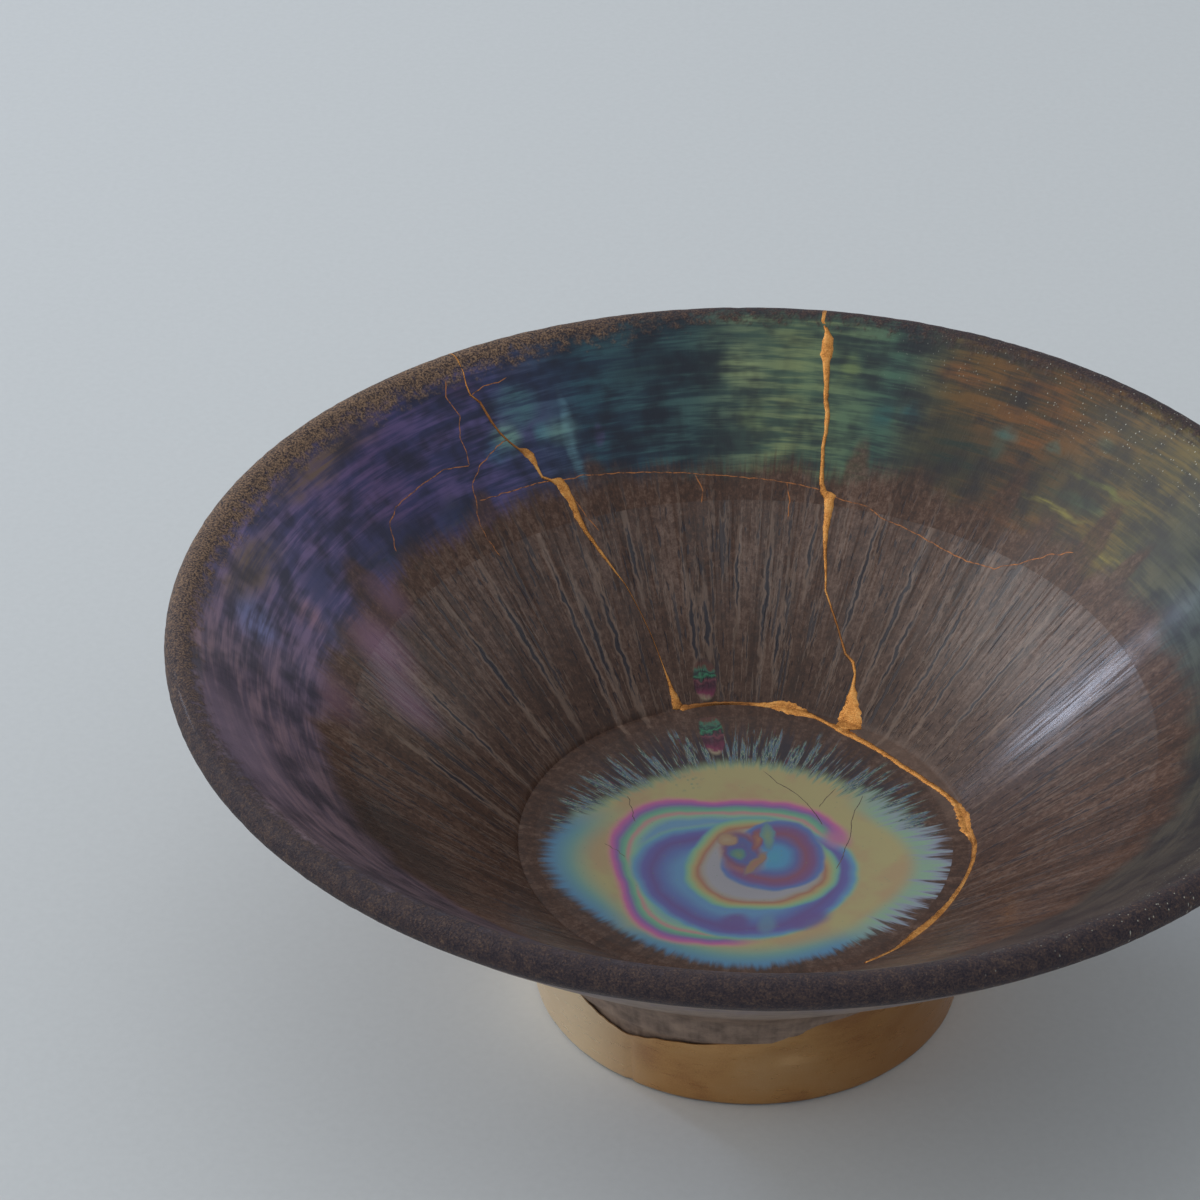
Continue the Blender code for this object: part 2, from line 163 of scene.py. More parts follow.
def spot_at(angle, radius):
    """How far across and back a place is, from its angle in degrees and its radius."""
    turn = math.radians(angle)
    return radius * math.cos(turn), radius * math.sin(turn)


def length(name, description, default):
    """A size in metres for the sidebar."""
    return FloatProperty(
        name=name, description=description, default=default, min=0.0, precision=5,
        subtype="DISTANCE", unit="LENGTH",
    )


def shift(name, description, default):
    """A sideways shift in metres for the sidebar."""
    return FloatProperty(
        name=name, description=description, default=default, subtype="DISTANCE", unit="LENGTH",
    )


def turning(name, description, degrees):
    """An angle for the sidebar, given in degrees."""
    return FloatProperty(
        name=name, description=description, default=math.radians(degrees),
        subtype="ANGLE", unit="ROTATION",
    )


def power(name, description, default):
    """The power of a light for the sidebar."""
    return FloatProperty(
        name=name, description=description, default=default, min=0.0, unit="POWER",
    )


def colour(name, description, default):
    """A colour for the sidebar."""
    return FloatVectorProperty(
        name=name, description=description, default=default, size=3, min=0.0, max=1.0,
        subtype="COLOR",
    )


class KINTSUGI_PG_sizes(bpy.types.PropertyGroup):
    """The bowl's sizes, as its solids have them."""

    rim_radius: length(
        "Rim Radius", "Outer radius of the lip", (cad_box[1].x - cad_box[0].x) / 2,
    )
    bowl_height: length("Height", "Height of the lip above the table", cad_box[1].z)
    lip_thickness: length("Lip Thickness", "Thickness of the rounded lip", 0.0042)
    wall_thickness: length("Wall Thickness", "Thickness of the wall at the well", 0.0046)
    wall_belly: length("Wall Belly", "How far the wall sags below a straight line", 0.0005)
    well_radius: length("Well Radius", "Radius of the ring round the well", 0.0295)
    well_height: length("Well Height", "Height of that ring above the table", 0.0217)
    well_depth: length("Well Depth", "Depth of the well's middle below its ring", 0.0028)
    foot_radius: length("Foot Radius", "Outer radius of the foot ring", 0.0283)
    foot_flare: length("Foot Flare", "How much wider the foot is at its top", 0.0006)
    foot_edge: length("Foot Edge", "Rounding of the foot's lower edge", 0.0008)
    foot_wall: length("Foot Wall", "Width of the flat ring that the bowl stands on", 0.0062)
    cove_drop: length("Cove Drop", "How far below the corner the cove starts", 0.0040)
    cove_reach: length("Cove Reach", "How far up the wall the cove ends", 0.0060)
    recess_depth: length("Recess Depth", "Depth of the hollow under the foot", 0.0100)
    recess_taper: length("Recess Taper", "How much narrower the hollow is inside", 0.0012)
    recess_fillet: length("Recess Fillet", "Corner of the hollow's roof", 0.0015)
    foot_lean: shift("Foot Lean", "Sideways shift of the foot", -0.0008)
    well_lean: shift("Well Lean", "Sideways shift of the well", -0.0015)
    facets: IntProperty(
        name="Facets", description="Facets round the bowl", default=432, min=96, max=480,
    )
    bead_height: length("Bead Height", "How proud the gold stands of the glaze", 0.00016)
    coat_height: length("Coat Height", "How proud the foot's coat stands", 0.00012)
    grit_depth: length("Grit Depth", "Depth of the grit along the lip", 0.00018)


class KINTSUGI_PG_finish(bpy.types.PropertyGroup):
    """The bowl's colours."""

    ground: colour("Ground Glaze", "Brown glaze of the wall", paint(79, 53, 40))
    ground_dark: colour("Dark Ground", "Deeper tone between the fibres", paint(54, 36, 29))
    ground_pale: colour("Pale Ground", "Palest fibres of the wall", paint(114, 89, 76))
    drip: colour("Drips", "Blue-black runs down the wall", paint(34, 30, 40))
    pool: colour("Pool", "Khaki glaze round the pool's swirl", paint(161, 151, 108))
    clay: colour("Bare Clay", "Unglazed clay under the foot", paint(116, 96, 80))
    outside: colour("Outside Glaze", "Brown glaze of the outside", paint(134, 114, 101))
    gold: colour("Gold", "Burnished gold of the mends", paint(210, 144, 76))
    gold_dull: colour("Dull Gold", "Thin and worn gold", paint(130, 82, 44))
    foot_gold: colour("Foot Gold", "Satin gold of the foot", paint(212, 164, 110))
    hairline: colour("Gold Hairline", "Gold rubbed into the hairlines", paint(176, 112, 62))


class KINTSUGI_PG_studio(bpy.types.PropertyGroup):
    """The camera, the light and the floor."""

    distance: length("Distance", "From the point between rim and table to the camera", 0.5397)
    elevation: turning("Elevation", "Height of the camera above the table, as an angle", 39.805)
    yaw: turning("Yaw", "Turn of the camera to the right", -2.317)
    pitch: turning("Pitch", "Tilt of the camera upwards", 5.145)
    roll: turning("Roll", "Tilt of the camera sideways", 1.661)
    lens: FloatProperty(
        name="Lens", description="Focal length on a 36 mm sensor", default=120.0, min=10.0,
        subtype="DISTANCE_CAMERA", unit="CAMERA",
    )
    window_power: power("Window", "Power of the window behind and to the left", 1.5)
    ceiling_power: power("Ceiling", "Power of the broad light from above", 4.7)
    left_power: power("Left Wall", "Power of the broad light from the left", 6.2)
    right_power: power("Right Wall", "Power of the low light from the right", 1.6)
    room_light: FloatProperty(
        name="Room Light", description="Strength of the light from all round", default=0.505,
        min=0.0,
    )
    floor: colour("Floor", "Plain pale floor", paint(205, 209, 211))


class Skin:
    """The bowl's turned surface, unrolled into an angle and a length along its outline.

    The length starts in the middle of the well, climbs the inside, goes over the
    lip and comes down the outside to the middle of the hollow under the foot.
    """

    FLOOR_STEPS = 28
    RING_STEPS = 8
    WALL_STEPS = 58
    LIP_STEPS = 9
    OUTER_STEPS = 40
    COVE_STEPS = 10
    SIDE_STEPS = 10
    EDGE_STEPS = 4
    ROOF_STEPS = 8
    RING_ZONE = 0.0011

    def __init__(self, sizes):
        self.sizes = sizes
        self.lip = sizes.lip_thickness / 2
        self.lip_centre = (sizes.rim_radius - self.lip, sizes.bowl_height - self.lip)
        reach, rise = self.to_lip(sizes.well_radius, sizes.well_height)
        self.slope = math.atan2(rise, reach) + math.asin(self.lip / math.hypot(reach, rise))
        self.inner_end = self.on_lip(self.slope + math.pi / 2)
        reach, rise = self.to_lip(
            sizes.well_radius + sizes.wall_thickness * math.sin(self.slope),
            sizes.well_height - sizes.wall_thickness * math.cos(self.slope),
        )
        self.outer_slope = math.atan2(rise, reach) - math.asin(self.lip / math.hypot(reach, rise))
        self.outer_end = self.on_lip(self.outer_slope - math.pi / 2)
        self.side_radius = sizes.foot_radius + sizes.foot_flare
        fall = (self.outer_end[0] - self.side_radius) * math.tan(self.outer_slope)
        self.corner_height = self.outer_end[1] - fall
        self.side_top = self.corner_height - sizes.cove_drop
        self.cove_end = (
            self.side_radius + sizes.cove_reach * math.cos(self.outer_slope),
            self.corner_height + sizes.cove_reach * math.sin(self.outer_slope),
        )
        self.line = []
        self.inside()
        wall_end = len(self.line) - 1
        self.over_the_lip()
        self.outer_start = len(self.line) - 1
        self.outside()
        self.side_end = len(self.line) - 1
        self.underneath()
        self.along = [0.0]
        for start, end in zip(self.line, self.line[1:]):
            self.along.append(self.along[-1] + math.dist(start, end))
        self.wall_end = self.along[wall_end]

    def to_lip(self, radius, height):
        """How far the lip's centre lies out from and above a point."""
        return self.lip_centre[0] - radius, self.lip_centre[1] - height

    def on_lip(self, angle):
        """The point of the rounded lip in a direction from its centre."""
        return (
            self.lip_centre[0] + self.lip * math.cos(angle),
            self.lip_centre[1] + self.lip * math.sin(angle),
        )

    def belly(self, share):
        """How far the wall sags at a share of its length."""
        return self.sizes.wall_belly * 4 * share * (1 - share)

    def inner_height(self, radius):
        """Height of the inside surface at a radius."""
        sizes = self.sizes
        if radius <= sizes.well_radius:
            return sizes.well_height - sizes.well_depth * (1 - (radius / sizes.well_radius) ** 2)
        share = (radius - sizes.well_radius) / (self.inner_end[0] - sizes.well_radius)
        line = sizes.well_height + (self.inner_end[1] - sizes.well_height) * share
        return line - self.belly(min(share, 1.0))

    def side_radius_at(self, height):
        """Radius of the foot's outside and of the cove above it."""
        sizes = self.sizes
        if height < sizes.foot_edge:
            drop = sizes.foot_edge - height
            return sizes.foot_radius - sizes.foot_edge + math.sqrt(sizes.foot_edge ** 2 - drop ** 2)
        if height <= self.side_top:
            share = (height - sizes.foot_edge) / (self.side_top - sizes.foot_edge)
            return sizes.foot_radius + sizes.foot_flare * share
        low = self.side_top - height
        bend = self.side_top - 2 * self.corner_height + self.cove_end[1]
        rise = 2 * sizes.cove_drop
        share = 2 * -low / (rise + math.sqrt(rise ** 2 - 4 * bend * low))
        return self.cove_point(share)[0]

    def cove_point(self, share):
        """A point of the cove between the foot's side (0) and the wall (1)."""
        start = Vector((self.side_radius, self.side_top))
        corner = Vector((self.side_radius, self.corner_height))
        low = start.lerp(corner, share)
        high = corner.lerp(Vector(self.cove_end), share)
        return tuple(low.lerp(high, share))

    def inside(self):
        """The well and the inside wall, with closer points round the ring's groove."""
        ring = self.sizes.well_radius
        zone = self.RING_ZONE
        radii = [(ring - zone) * step / self.FLOOR_STEPS for step in range(self.FLOOR_STEPS)]
        radii += [ring - zone + 2 * zone * step / self.RING_STEPS for step in range(self.RING_STEPS)]
        span = self.inner_end[0] - ring - zone
        radii += [ring + zone + span * step / self.WALL_STEPS for step in range(self.WALL_STEPS)]
        self.line += [(radius, self.inner_height(radius)) for radius in radii]

    def over_the_lip(self):
        """The rounded lip, through its highest and its outermost point."""
        turns = (self.slope + math.pi / 2, math.pi / 2, 0.0, self.outer_slope - math.pi / 2)
        for start, end in zip(turns, turns[1:]):
            for step in range(self.LIP_STEPS):
                self.line.append(self.on_lip(start + (end - start) * step / self.LIP_STEPS))
        self.line.append(self.outer_end)

    def outside(self):
        """The outside wall, the cove, and the foot's side down to the table."""
        for step in range(1, self.OUTER_STEPS):
            share = step / self.OUTER_STEPS
            radius = self.outer_end[0] + (self.cove_end[0] - self.outer_end[0]) * share
            height = self.outer_end[1] + (self.cove_end[1] - self.outer_end[1]) * share
            self.line.append((radius, height - self.belly(share)))
        self.line += [self.cove_point(1 - step / self.COVE_STEPS) for step in range(self.COVE_STEPS)]
        edge = self.sizes.foot_edge
        for step in range(self.SIDE_STEPS):
            height = self.side_top + (edge - self.side_top) * step / self.SIDE_STEPS
            self.line.append((self.side_radius_at(height), height))
        for step in range(self.EDGE_STEPS + 1):
            height = edge * (1 - step / self.EDGE_STEPS) ** 2
            self.line.append((self.side_radius_at(height), height))

    def underneath(self):
        """The flat ring that the bowl stands on and the hollow inside it."""
        sizes = self.sizes
        recess = sizes.foot_radius - sizes.foot_wall
        roof = recess - sizes.recess_taper - sizes.recess_fillet
        edge = sizes.recess_fillet
        self.line.append((recess + edge, 0.0))
        self.line.append((recess + edge * 0.3, edge * 0.1))
        self.line.append((recess, edge * 0.4))
        self.line.append((recess - sizes.recess_taper, sizes.recess_depth - edge))
        for step in range(1, 4):
            turn = step / 4 * math.pi / 2
            self.line.append((
                roof + edge * math.cos(turn), sizes.recess_depth - edge + edge * math.sin(turn),
            ))
        for step in range(self.ROOF_STEPS + 1):
            self.line.append((roof * (1 - step / self.ROOF_STEPS), sizes.recess_depth))

    def lean(self, height):
        """Sideways shift of the thrown clay at a height."""
        sizes = self.sizes
        if height < sizes.well_height:
            share = max(height, 0.0) / sizes.well_height
            return sizes.foot_lean + (sizes.well_lean - sizes.foot_lean) * share
        share = max(sizes.bowl_height - height, 0.0) / (sizes.bowl_height - sizes.well_height)
        return sizes.well_lean * share

    def at(self, along):
        """Radius and height at a length along the outline, and the direction out of the clay."""
        index = min(max(bisect.bisect_right(self.along, along) - 1, 0), len(self.line) - 2)
        span = self.along[index + 1] - self.along[index]
        share = (along - self.along[index]) / span
        (radius_1, height_1), (radius_2, height_2) = self.line[index], self.line[index + 1]
        radius = radius_1 + (radius_2 - radius_1) * share
        height = height_1 + (height_2 - height_1) * share
        return radius, height, (height_1 - height_2) / span, (radius_2 - radius_1) / span

    def leaned(self, turn, radius, height):
        """The point at an angle, radius and height, shifted by the clay's lean."""
        shift_across = self.lean(height)
        return Vector((radius * math.cos(turn) + shift_across, radius * math.sin(turn), height))

    def relief(self, turn, radius):
        """How far the inside glaze stands up or in at a point."""
        angle = math.degrees(turn)
        spot = radius / MM
        from_ring = (radius - self.sizes.well_radius) / MM
        groove = 0.18 * MM * math.exp(-(from_ring / 0.28) ** 2)
        if GOLD_IN_GROOVE[0] < angle < GOLD_IN_GROOVE[1]:
            groove *= 0.4
        drip = ripple(math.cos(turn) * 20, math.sin(turn) * 20, spot * 0.09)
        shown = min(max((spot - 30) / 5, 0.0), 1.0) * min(max((60 - spot) / 8, 0.0), 1.0)
        brushed = 0.012 * MM * ripple(math.cos(turn) * 4, math.sin(turn) * 4, spot * 0.9)
        return 0.025 * MM * drip * shown + brushed - groove

    def point(self, turn, along, lift=0.0):
        """A point on the surface, or lifted off it along its normal."""
        radius, height, out, up = self.at(along)
        if along < self.wall_end:
            lift += self.relief(turn, radius)
        return self.leaned(turn, radius + out * lift, height + up * lift)

    def along_inside(self, radius):
        """Length along the outline to a radius on the inside."""
        radii = [point[0] for point in self.line[:self.outer_start]]
        index = min(max(bisect.bisect_right(radii, radius) - 1, 0), len(radii) - 2)
        share = (radius - radii[index]) / (radii[index + 1] - radii[index])
        return self.along[index] + share * (self.along[index + 1] - self.along[index])

    def along_outside(self, radius):
        """Length along the outline to where a break from a radius inside comes out."""
        height = self.inner_height(radius)
        best = None
        for index in range(self.outer_start, self.side_end):
            reach = self.line[index][0] - radius
            rise = self.line[index][1] - height
            miss = abs(reach * math.cos(self.slope) + rise * math.sin(self.slope))
            if best is None or miss < best[0]:
                best = (miss, self.along[index])
        return best[1]


def between(first, second, share):
    """What lies at a share of the way from one row of numbers to another."""
    return tuple(a + (b - a) * share for a, b in zip(first, second))


def stations_between(stations, step):
    """Fills in a list of stations evenly, a step in millimetres apart."""
    filled = []
    for first, second in zip(stations, stations[1:]):
        across = math.radians(second[0] - first[0]) * first[1]
        count = max(1, round(math.hypot(across, second[1] - first[1]) / step))
        for index in range(count):
            filled.append(between(first, second, index / count))
    filled.append(stations[-1])
    return filled


def station_at(stations, angle):
    """A clockwise list of stations, read at an angle in degrees."""
    for first, second in zip(stations, stations[1:]):
        if first[0] >= angle >= second[0]:
            return between(first, second, (first[0] - angle) / (first[0] - second[0]))
    return stations[0] if angle > stations[0][0] else stations[-1]


def coat_top(angle):
    """Height of the foot coat's ragged edge at an angle in degrees."""
    closed = COAT_EDGE + ((COAT_EDGE[0][0] + 360.0, COAT_EDGE[0][1]),)
    angle = (angle + 180.0) % 360.0 - 180.0
    for (angle_1, height_1), (angle_2, height_2) in zip(closed, closed[1:]):
        if angle_1 <= angle <= angle_2:
            share = (angle - angle_1) / (angle_2 - angle_1)
            soft = share * share * (3 - 2 * share)
            ragged = 0.12 * ripple(math.radians(angle) * 9, 3.0, 0.0)
            return (height_1 + (height_2 - height_1) * soft + ragged) * MM
    return COAT_EDGE[0][1] * MM


def deselect():
    """Leaves edit mode with nothing selected."""
    if bpy.context.object and bpy.context.object.mode != "OBJECT":
        bpy.ops.object.mode_set(mode="OBJECT")
    bpy.ops.object.select_all(action="DESELECT")


def pick(*items):
    """Selects these objects alone and makes the first one active."""
    deselect()
    for item in items:
        item.select_set(True)
    bpy.context.view_layer.objects.active = items[0]


def open_mesh(item):
    """Goes into edit mode on an object with its whole mesh selected."""
    pick(item)
    bpy.ops.object.mode_set(mode="EDIT")
    bpy.ops.mesh.select_all(action="SELECT")


def close_mesh():
    """Turns every face outwards and leaves edit mode."""
    bpy.ops.mesh.select_all(action="SELECT")
    bpy.ops.mesh.normals_make_consistent(inside=False)
    bpy.ops.object.mode_set(mode="OBJECT")


def named(name):
    """The object that was just added, renamed with its mesh."""
    item = bpy.context.object
    item.name = name
    item.data.name = name
    return item


def grid(name, columns, rows):
    """A flat grid from -1 to 1 both ways, ready to be laid on the bowl."""
    deselect()
    bpy.ops.mesh.primitive_grid_add(x_subdivisions=columns, y_subdivisions=rows, size=2)
    return named(name)


def lay(item, place):
    """Moves each point of a grid to where place(across, along) says."""
    for vert in item.data.vertices:
        vert.co = place(vert.co.x, vert.co.y)


def thicken(item, thickness):
    """Gives a laid sheet its thickness, inwards from the face that shows."""
    pick(item)
    bpy.ops.object.modifier_add(type="SOLIDIFY")
    shell = item.modifiers[-1]
    shell.thickness = thickness
    shell.offset = -1.0
    bpy.ops.object.modifier_apply(modifier=shell.name)
    bpy.ops.object.shade_smooth_by_angle(angle=math.radians(50))


def joined(name, items):
    """Several objects as one piece."""
    pick(*items)
    bpy.ops.object.join()
    return named(name)


def dressed(item, *materials):
    """Gives a piece these materials in place of what it had."""
    item.data.materials.clear()
    for material in materials:
        item.data.materials.append(material)


def finished(item, slot, *nodes):
    """Ties a piece to the frame: what it rides on and what it stands for. The slot is not used."""
    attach(item, BODY)
    if nodes:
        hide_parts(*nodes)


def ripple(*place, scale=1.0):
    """Smooth noise from -1 to 1 at a place."""
    return noise.noise(Vector(place) * scale)


# A bead of gold: how far apart its points are in millimetres, over how many of them its
# direction is read, how narrow its ends are, how grainy its top is, and how much wider
# it is over the lip
BEAD_STEP = 0.25
BEAD_REACH = 4
BEAD_END = 0.15
BEAD_GRAIN = 0.18
OVER_LIP = 1.3


def ribbon(name, skin, path, proud, columns=8, wobble=0.3):
    """A bead of lacquer along a path of (turn, along, left, right), all in metres."""
    rows = len(path) - 1
    item = grid(name, columns, rows)

    def place(across, along):
        index = min(max(round((along + 1) / 2 * rows), 0), rows)
        turn, length_along, left, right = path[index]
        before = path[max(index - BEAD_REACH, 0)]
        after = path[min(index + BEAD_REACH, rows)]
        radius = max(skin.at(length_along)[0], MM)
        sideways = (after[0] - before[0]) * radius
        onward = after[1] - before[1]
        size = math.hypot(sideways, onward) or 1.0
        sideways /= size
        onward /= size
        side = 1 if across > 0 else -1
        spread = right if side > 0 else left
        run = length_along / MM
        spread *= 1 + wobble * ripple(run * 0.9, turn * 70, side * 7.0)
        spread *= 1 + wobble * 0.6 * ripple(run * 2.6, turn * 190, side * 3.0)
        if index in (0, rows):
            spread *= BEAD_END
        offset = across * spread
        spot_turn = turn - onward * offset / radius
        spot_along = length_along + sideways * offset
        crown = 1 - abs(across) ** 3
        height = proud * min(1.0, 0.35 + spread / (0.5 * MM))
        grain = BEAD_GRAIN * ripple(run * 1.9, turn * 120, across * 1.3)
        lift = height * (crown * (1 + grain) * 1.25 - 0.25)
        if skin.wall_end < spot_along < skin.along[skin.outer_start]:
            lift = min(lift, 0.0) - 0.03 * MM
        return skin.point(spot_turn, spot_along, lift)

    lay(item, place)
    thicken(item, 1.6 * proud)
    return item


def path_over(stations, along):
    """Stations in degrees and millimetres as a path, with along(radius) giving its length."""
    return [
        (math.radians(angle), along(radius * MM), left * MM, right * MM)
        for angle, radius, left, right in stations
    ]


def wall_path(skin, stations):
    """A break's whole path: up the inside, over the lip and down the outside."""
    filled = stations_between(stations, BEAD_STEP)
    path = path_over(filled, skin.along_inside)
    turn, start, left, right = path[-1]
    last = skin.along[skin.outer_start]
    count = round((last - start) / (BEAD_STEP * MM))
    path += [
        (turn, start + (last - start) * index / count, left * OVER_LIP, right * OVER_LIP)
        for index in range(1, count)
    ]
    down = path_over(reversed(filled), skin.along_outside)
    return path + even_path([path[-1]] + down, BEAD_STEP * MM)


def even_path(path, step):
    """A path thinned and filled so that its points are a step apart."""
    kept = [path[0]]
    for spot in path[1:]:
        gap = spot[1] - kept[-1][1]
        if gap > step / 2:
            count = max(1, round(gap / step))
            start = kept[-1]
            for index in range(1, count + 1):
                kept.append(between(start, spot, index / count))
    return kept[1:]


def ring_path(skin, outside):
    """The break along the well, on the inside or where it comes out near the foot."""
    path = []
    for angle, radius, inward, outward in stations_between(RING_BREAK, BEAD_STEP):
        if outside:
            stray = (radius * MM - skin.sizes.well_radius) * 0.8
            along = skin.along_outside(skin.sizes.well_radius) - stray
        else:
            along = skin.along_inside(radius * MM)
        path.append((math.radians(angle), along, outward * MM, inward * MM))
    return path


class KINTSUGI_OT_ceramic(bpy.types.Operator):
    """Turns the glazed bowl and parts the shard from it along the breaks"""

    bl_idname = "kintsugi.ceramic"
    bl_label = "Glazed Bowl and Shard"

    CUT_ROWS = 90
    CUT_COLUMNS = 24
    CUT_ABOVE = 0.005
    CUT_DEPTH = 0.017
    # How close points of the turned bowl are welded
    WELD = 0.000002
    # The noise above which the lip is chipped, and the sharpest angle that looks smooth
    CHIPPED = 0.42
    SMOOTH = 48
    # Radius at which the well's glaze ends, and at which the lustre band's glaze starts
    DISH_END = 0.0278
    BAND_START = 0.0515

    def execute(self, context):
        sizes = context.scene.kintsugi_sizes
        skin = Skin(sizes)
        bowl = self.turned(skin)
        self.relieve(bowl, skin)
        pick(bowl)
        bpy.ops.object.duplicate()
        shard = named("glazed_shard")
        cutter = self.cutter(skin)
        self.cut(bowl, cutter, "DIFFERENCE")
        self.cut(shard, cutter, "INTERSECT")
        bpy.data.objects.remove(cutter)
        recipes = (
            band_glaze(context), wall_glaze(context), well_glaze(context),
            outside_glaze(context), bare_clay(context),
        )
        for piece, node in ((bowl, "main_body"), (shard, "back_shard")):
            self.dress(piece, skin, recipes)
            finished(piece, "glaze", node)
        return {"FINISHED"}

    def turned(self, skin):
        """The outline drawn by extruding one point, then spun round the axis."""
        deselect()
        bpy.ops.mesh.primitive_plane_add(size=MM, location=(0, 0, skin.line[0][1]))
        bowl = named("glazed_bowl")
        bpy.ops.object.transform_apply(location=True, rotation=True, scale=True)
        open_mesh(bowl)
        bpy.ops.mesh.select_mode(type="VERT")
        bpy.ops.mesh.merge(type="CENTER")
        for (radius_1, height_1), (radius_2, height_2) in zip(skin.line, skin.line[1:]):
            step = (radius_2 - radius_1, 0.0, height_2 - height_1)
            bpy.ops.mesh.extrude_region_move(TRANSFORM_OT_translate={"value": step})
        bpy.ops.mesh.select_all(action="SELECT")
        bpy.ops.mesh.spin(
            steps=skin.sizes.facets, angle=math.tau, center=(0, 0, 0), axis=(0, 0, 1),
            use_auto_merge=True,
        )
        bpy.ops.mesh.select_all(action="SELECT")
        bpy.ops.mesh.remove_doubles(threshold=self.WELD)
        close_mesh()
        return bowl

    def relieve(self, bowl, skin):
        """Works the throwing marks, the groove, the drips and the lip's grit into the clay."""
        for vert in bowl.data.vertices:
            radius = math.hypot(vert.co.x, vert.co.y)
            height = vert.co.z
            if radius < 0.1 * MM:
                vert.co.x += skin.lean(height)
                continue
            turn = math.atan2(vert.co.y, vert.co.x)
            out, up, lift = self.worked(skin, turn, radius, height)
            vert.co = skin.leaned(turn, radius + out * lift, height + up * lift)

    def worked(self, skin, turn, radius, height):
        """Which way a point's relief goes, as out and up, and how far."""
        sizes = skin.sizes
        out_of_lip = (radius - skin.lip_centre[0], height - skin.lip_centre[1])
        from_lip = math.hypot(*out_of_lip)
        across = turn * radius / MM
        if from_lip < skin.lip * 1.02:
            grit = ripple(math.cos(turn) * 95, math.sin(turn) * 95, from_lip)
            grit += 0.8 * ripple(math.cos(turn) * 260, height / MM * 2.2, math.sin(turn) * 260)
            chips = ripple(math.cos(turn) * 22, math.sin(turn) * 22, 5.0)
            depth = sizes.grit_depth * (0.45 + 0.35 * grit)
            depth += 2.2 * sizes.grit_depth * max(0.0, chips - self.CHIPPED)
            lift = -max(depth, 0.0)
            return out_of_lip[0] / from_lip, out_of_lip[1] / from_lip, lift
        inner = skin.inner_height(radius)
        if radius < skin.inner_end[0] and abs(height - inner) < 0.5 * MM:
            lift = skin.relief(turn, radius)
            if radius < sizes.well_radius:
                return 0.0, 1.0, lift
            return -math.sin(skin.slope), math.cos(skin.slope), lift
        if height > skin.side_top:
            over = (height - coat_top(math.degrees(turn))) / MM
            if over < -COAT_LAP:
                return 1.0, 0.0, -REBATE
            rings = math.sin((height / MM) * 1.15 + 0.6 * math.sin(turn * 2.0))
            lift = 0.05 * MM * rings + 0.05 * MM * ripple(across * 0.12, height / MM * 0.3, 2.0)
            lift *= min(max(over / MARKS_FADE, 0.0), 1.0)
            return math.sin(skin.outer_slope), -math.cos(skin.outer_slope), lift
        if radius > sizes.foot_radius - sizes.foot_edge:
            return 1.0, 0.0, -REBATE * min(height / (0.5 * MM), 1.0)
        return 0.0, 0.0, 0.0

    def cutter(self, skin):
        """A thick patch of wall between the two breaks and above the break along the well."""
        item = grid("shard_cutter", self.CUT_COLUMNS, self.CUT_ROWS)
        sizes = skin.sizes
        top = self.rows(skin)

        def place(across, along):
            share = (across + 1) / 2
            row = min(max(round((along + 1) / 2 * self.CUT_ROWS), 0), self.CUT_ROWS)
            radius, left, right = top[row]
            angle = left + (right - left) * share
            below = min(max(angle, RIGHT_BREAK[0][0]), RING_BREAK[0][0])
            bottom = station_at(RING_BREAK, below)[1] * MM
            sag = max(0.0, 1 - (radius - sizes.well_radius) / (2.5 * MM))
            radius += (bottom - sizes.well_radius) * sag
            turn = math.radians(angle)
            out = radius - self.CUT_ABOVE * math.sin(skin.slope)
            height = skin.inner_height(radius) + self.CUT_ABOVE * math.cos(skin.slope)
            return Vector((out * math.cos(turn), out * math.sin(turn), height))

        lay(item, place)
        open_mesh(item)
        bpy.ops.mesh.extrude_region_move()
        lower = bmesh.from_edit_mesh(item.data)
        for vert in lower.verts:
            if vert.select:
                turn = math.atan2(vert.co.y, vert.co.x)
                out = self.CUT_DEPTH * math.sin(skin.slope)
                drop = self.CUT_DEPTH * math.cos(skin.slope)
                vert.co += Vector((out * math.cos(turn), out * math.sin(turn), -drop))
        for vert in lower.verts:
            vert.co.x += skin.lean(max(vert.co.z, 0.0))
        bmesh.update_edit_mesh(item.data)
        close_mesh()
        return item

    def rows(self, skin):
        """Radius, left angle and right angle for each row of the cutter, from the well up."""
        start = skin.sizes.well_radius
        span = skin.sizes.rim_radius + 3 * MM - start
        rows = []
        for row in range(self.CUT_ROWS + 1):
            radius = start + span * row / self.CUT_ROWS
            ends = []
            for stations in (LEFT_BREAK, RIGHT_BREAK):
                spot = min(max(radius / MM, stations[0][1]), stations[-1][1])
                for first, second in zip(stations, stations[1:]):
                    if first[1] <= spot <= second[1]:
                        share = (spot - first[1]) / (second[1] - first[1])
                        ends.append(first[0] + (second[0] - first[0]) * share)
                        break
            rows.append((radius, *ends))
        return rows

    def cut(self, piece, cutter, operation):
        """Keeps or takes away what lies inside the cutter."""
        pick(piece)
        bpy.ops.object.modifier_add(type="BOOLEAN")
        change = piece.modifiers[-1]
        change.operation = operation
        change.solver = "EXACT"
        change.object = cutter
        bpy.ops.object.modifier_apply(modifier=change.name)

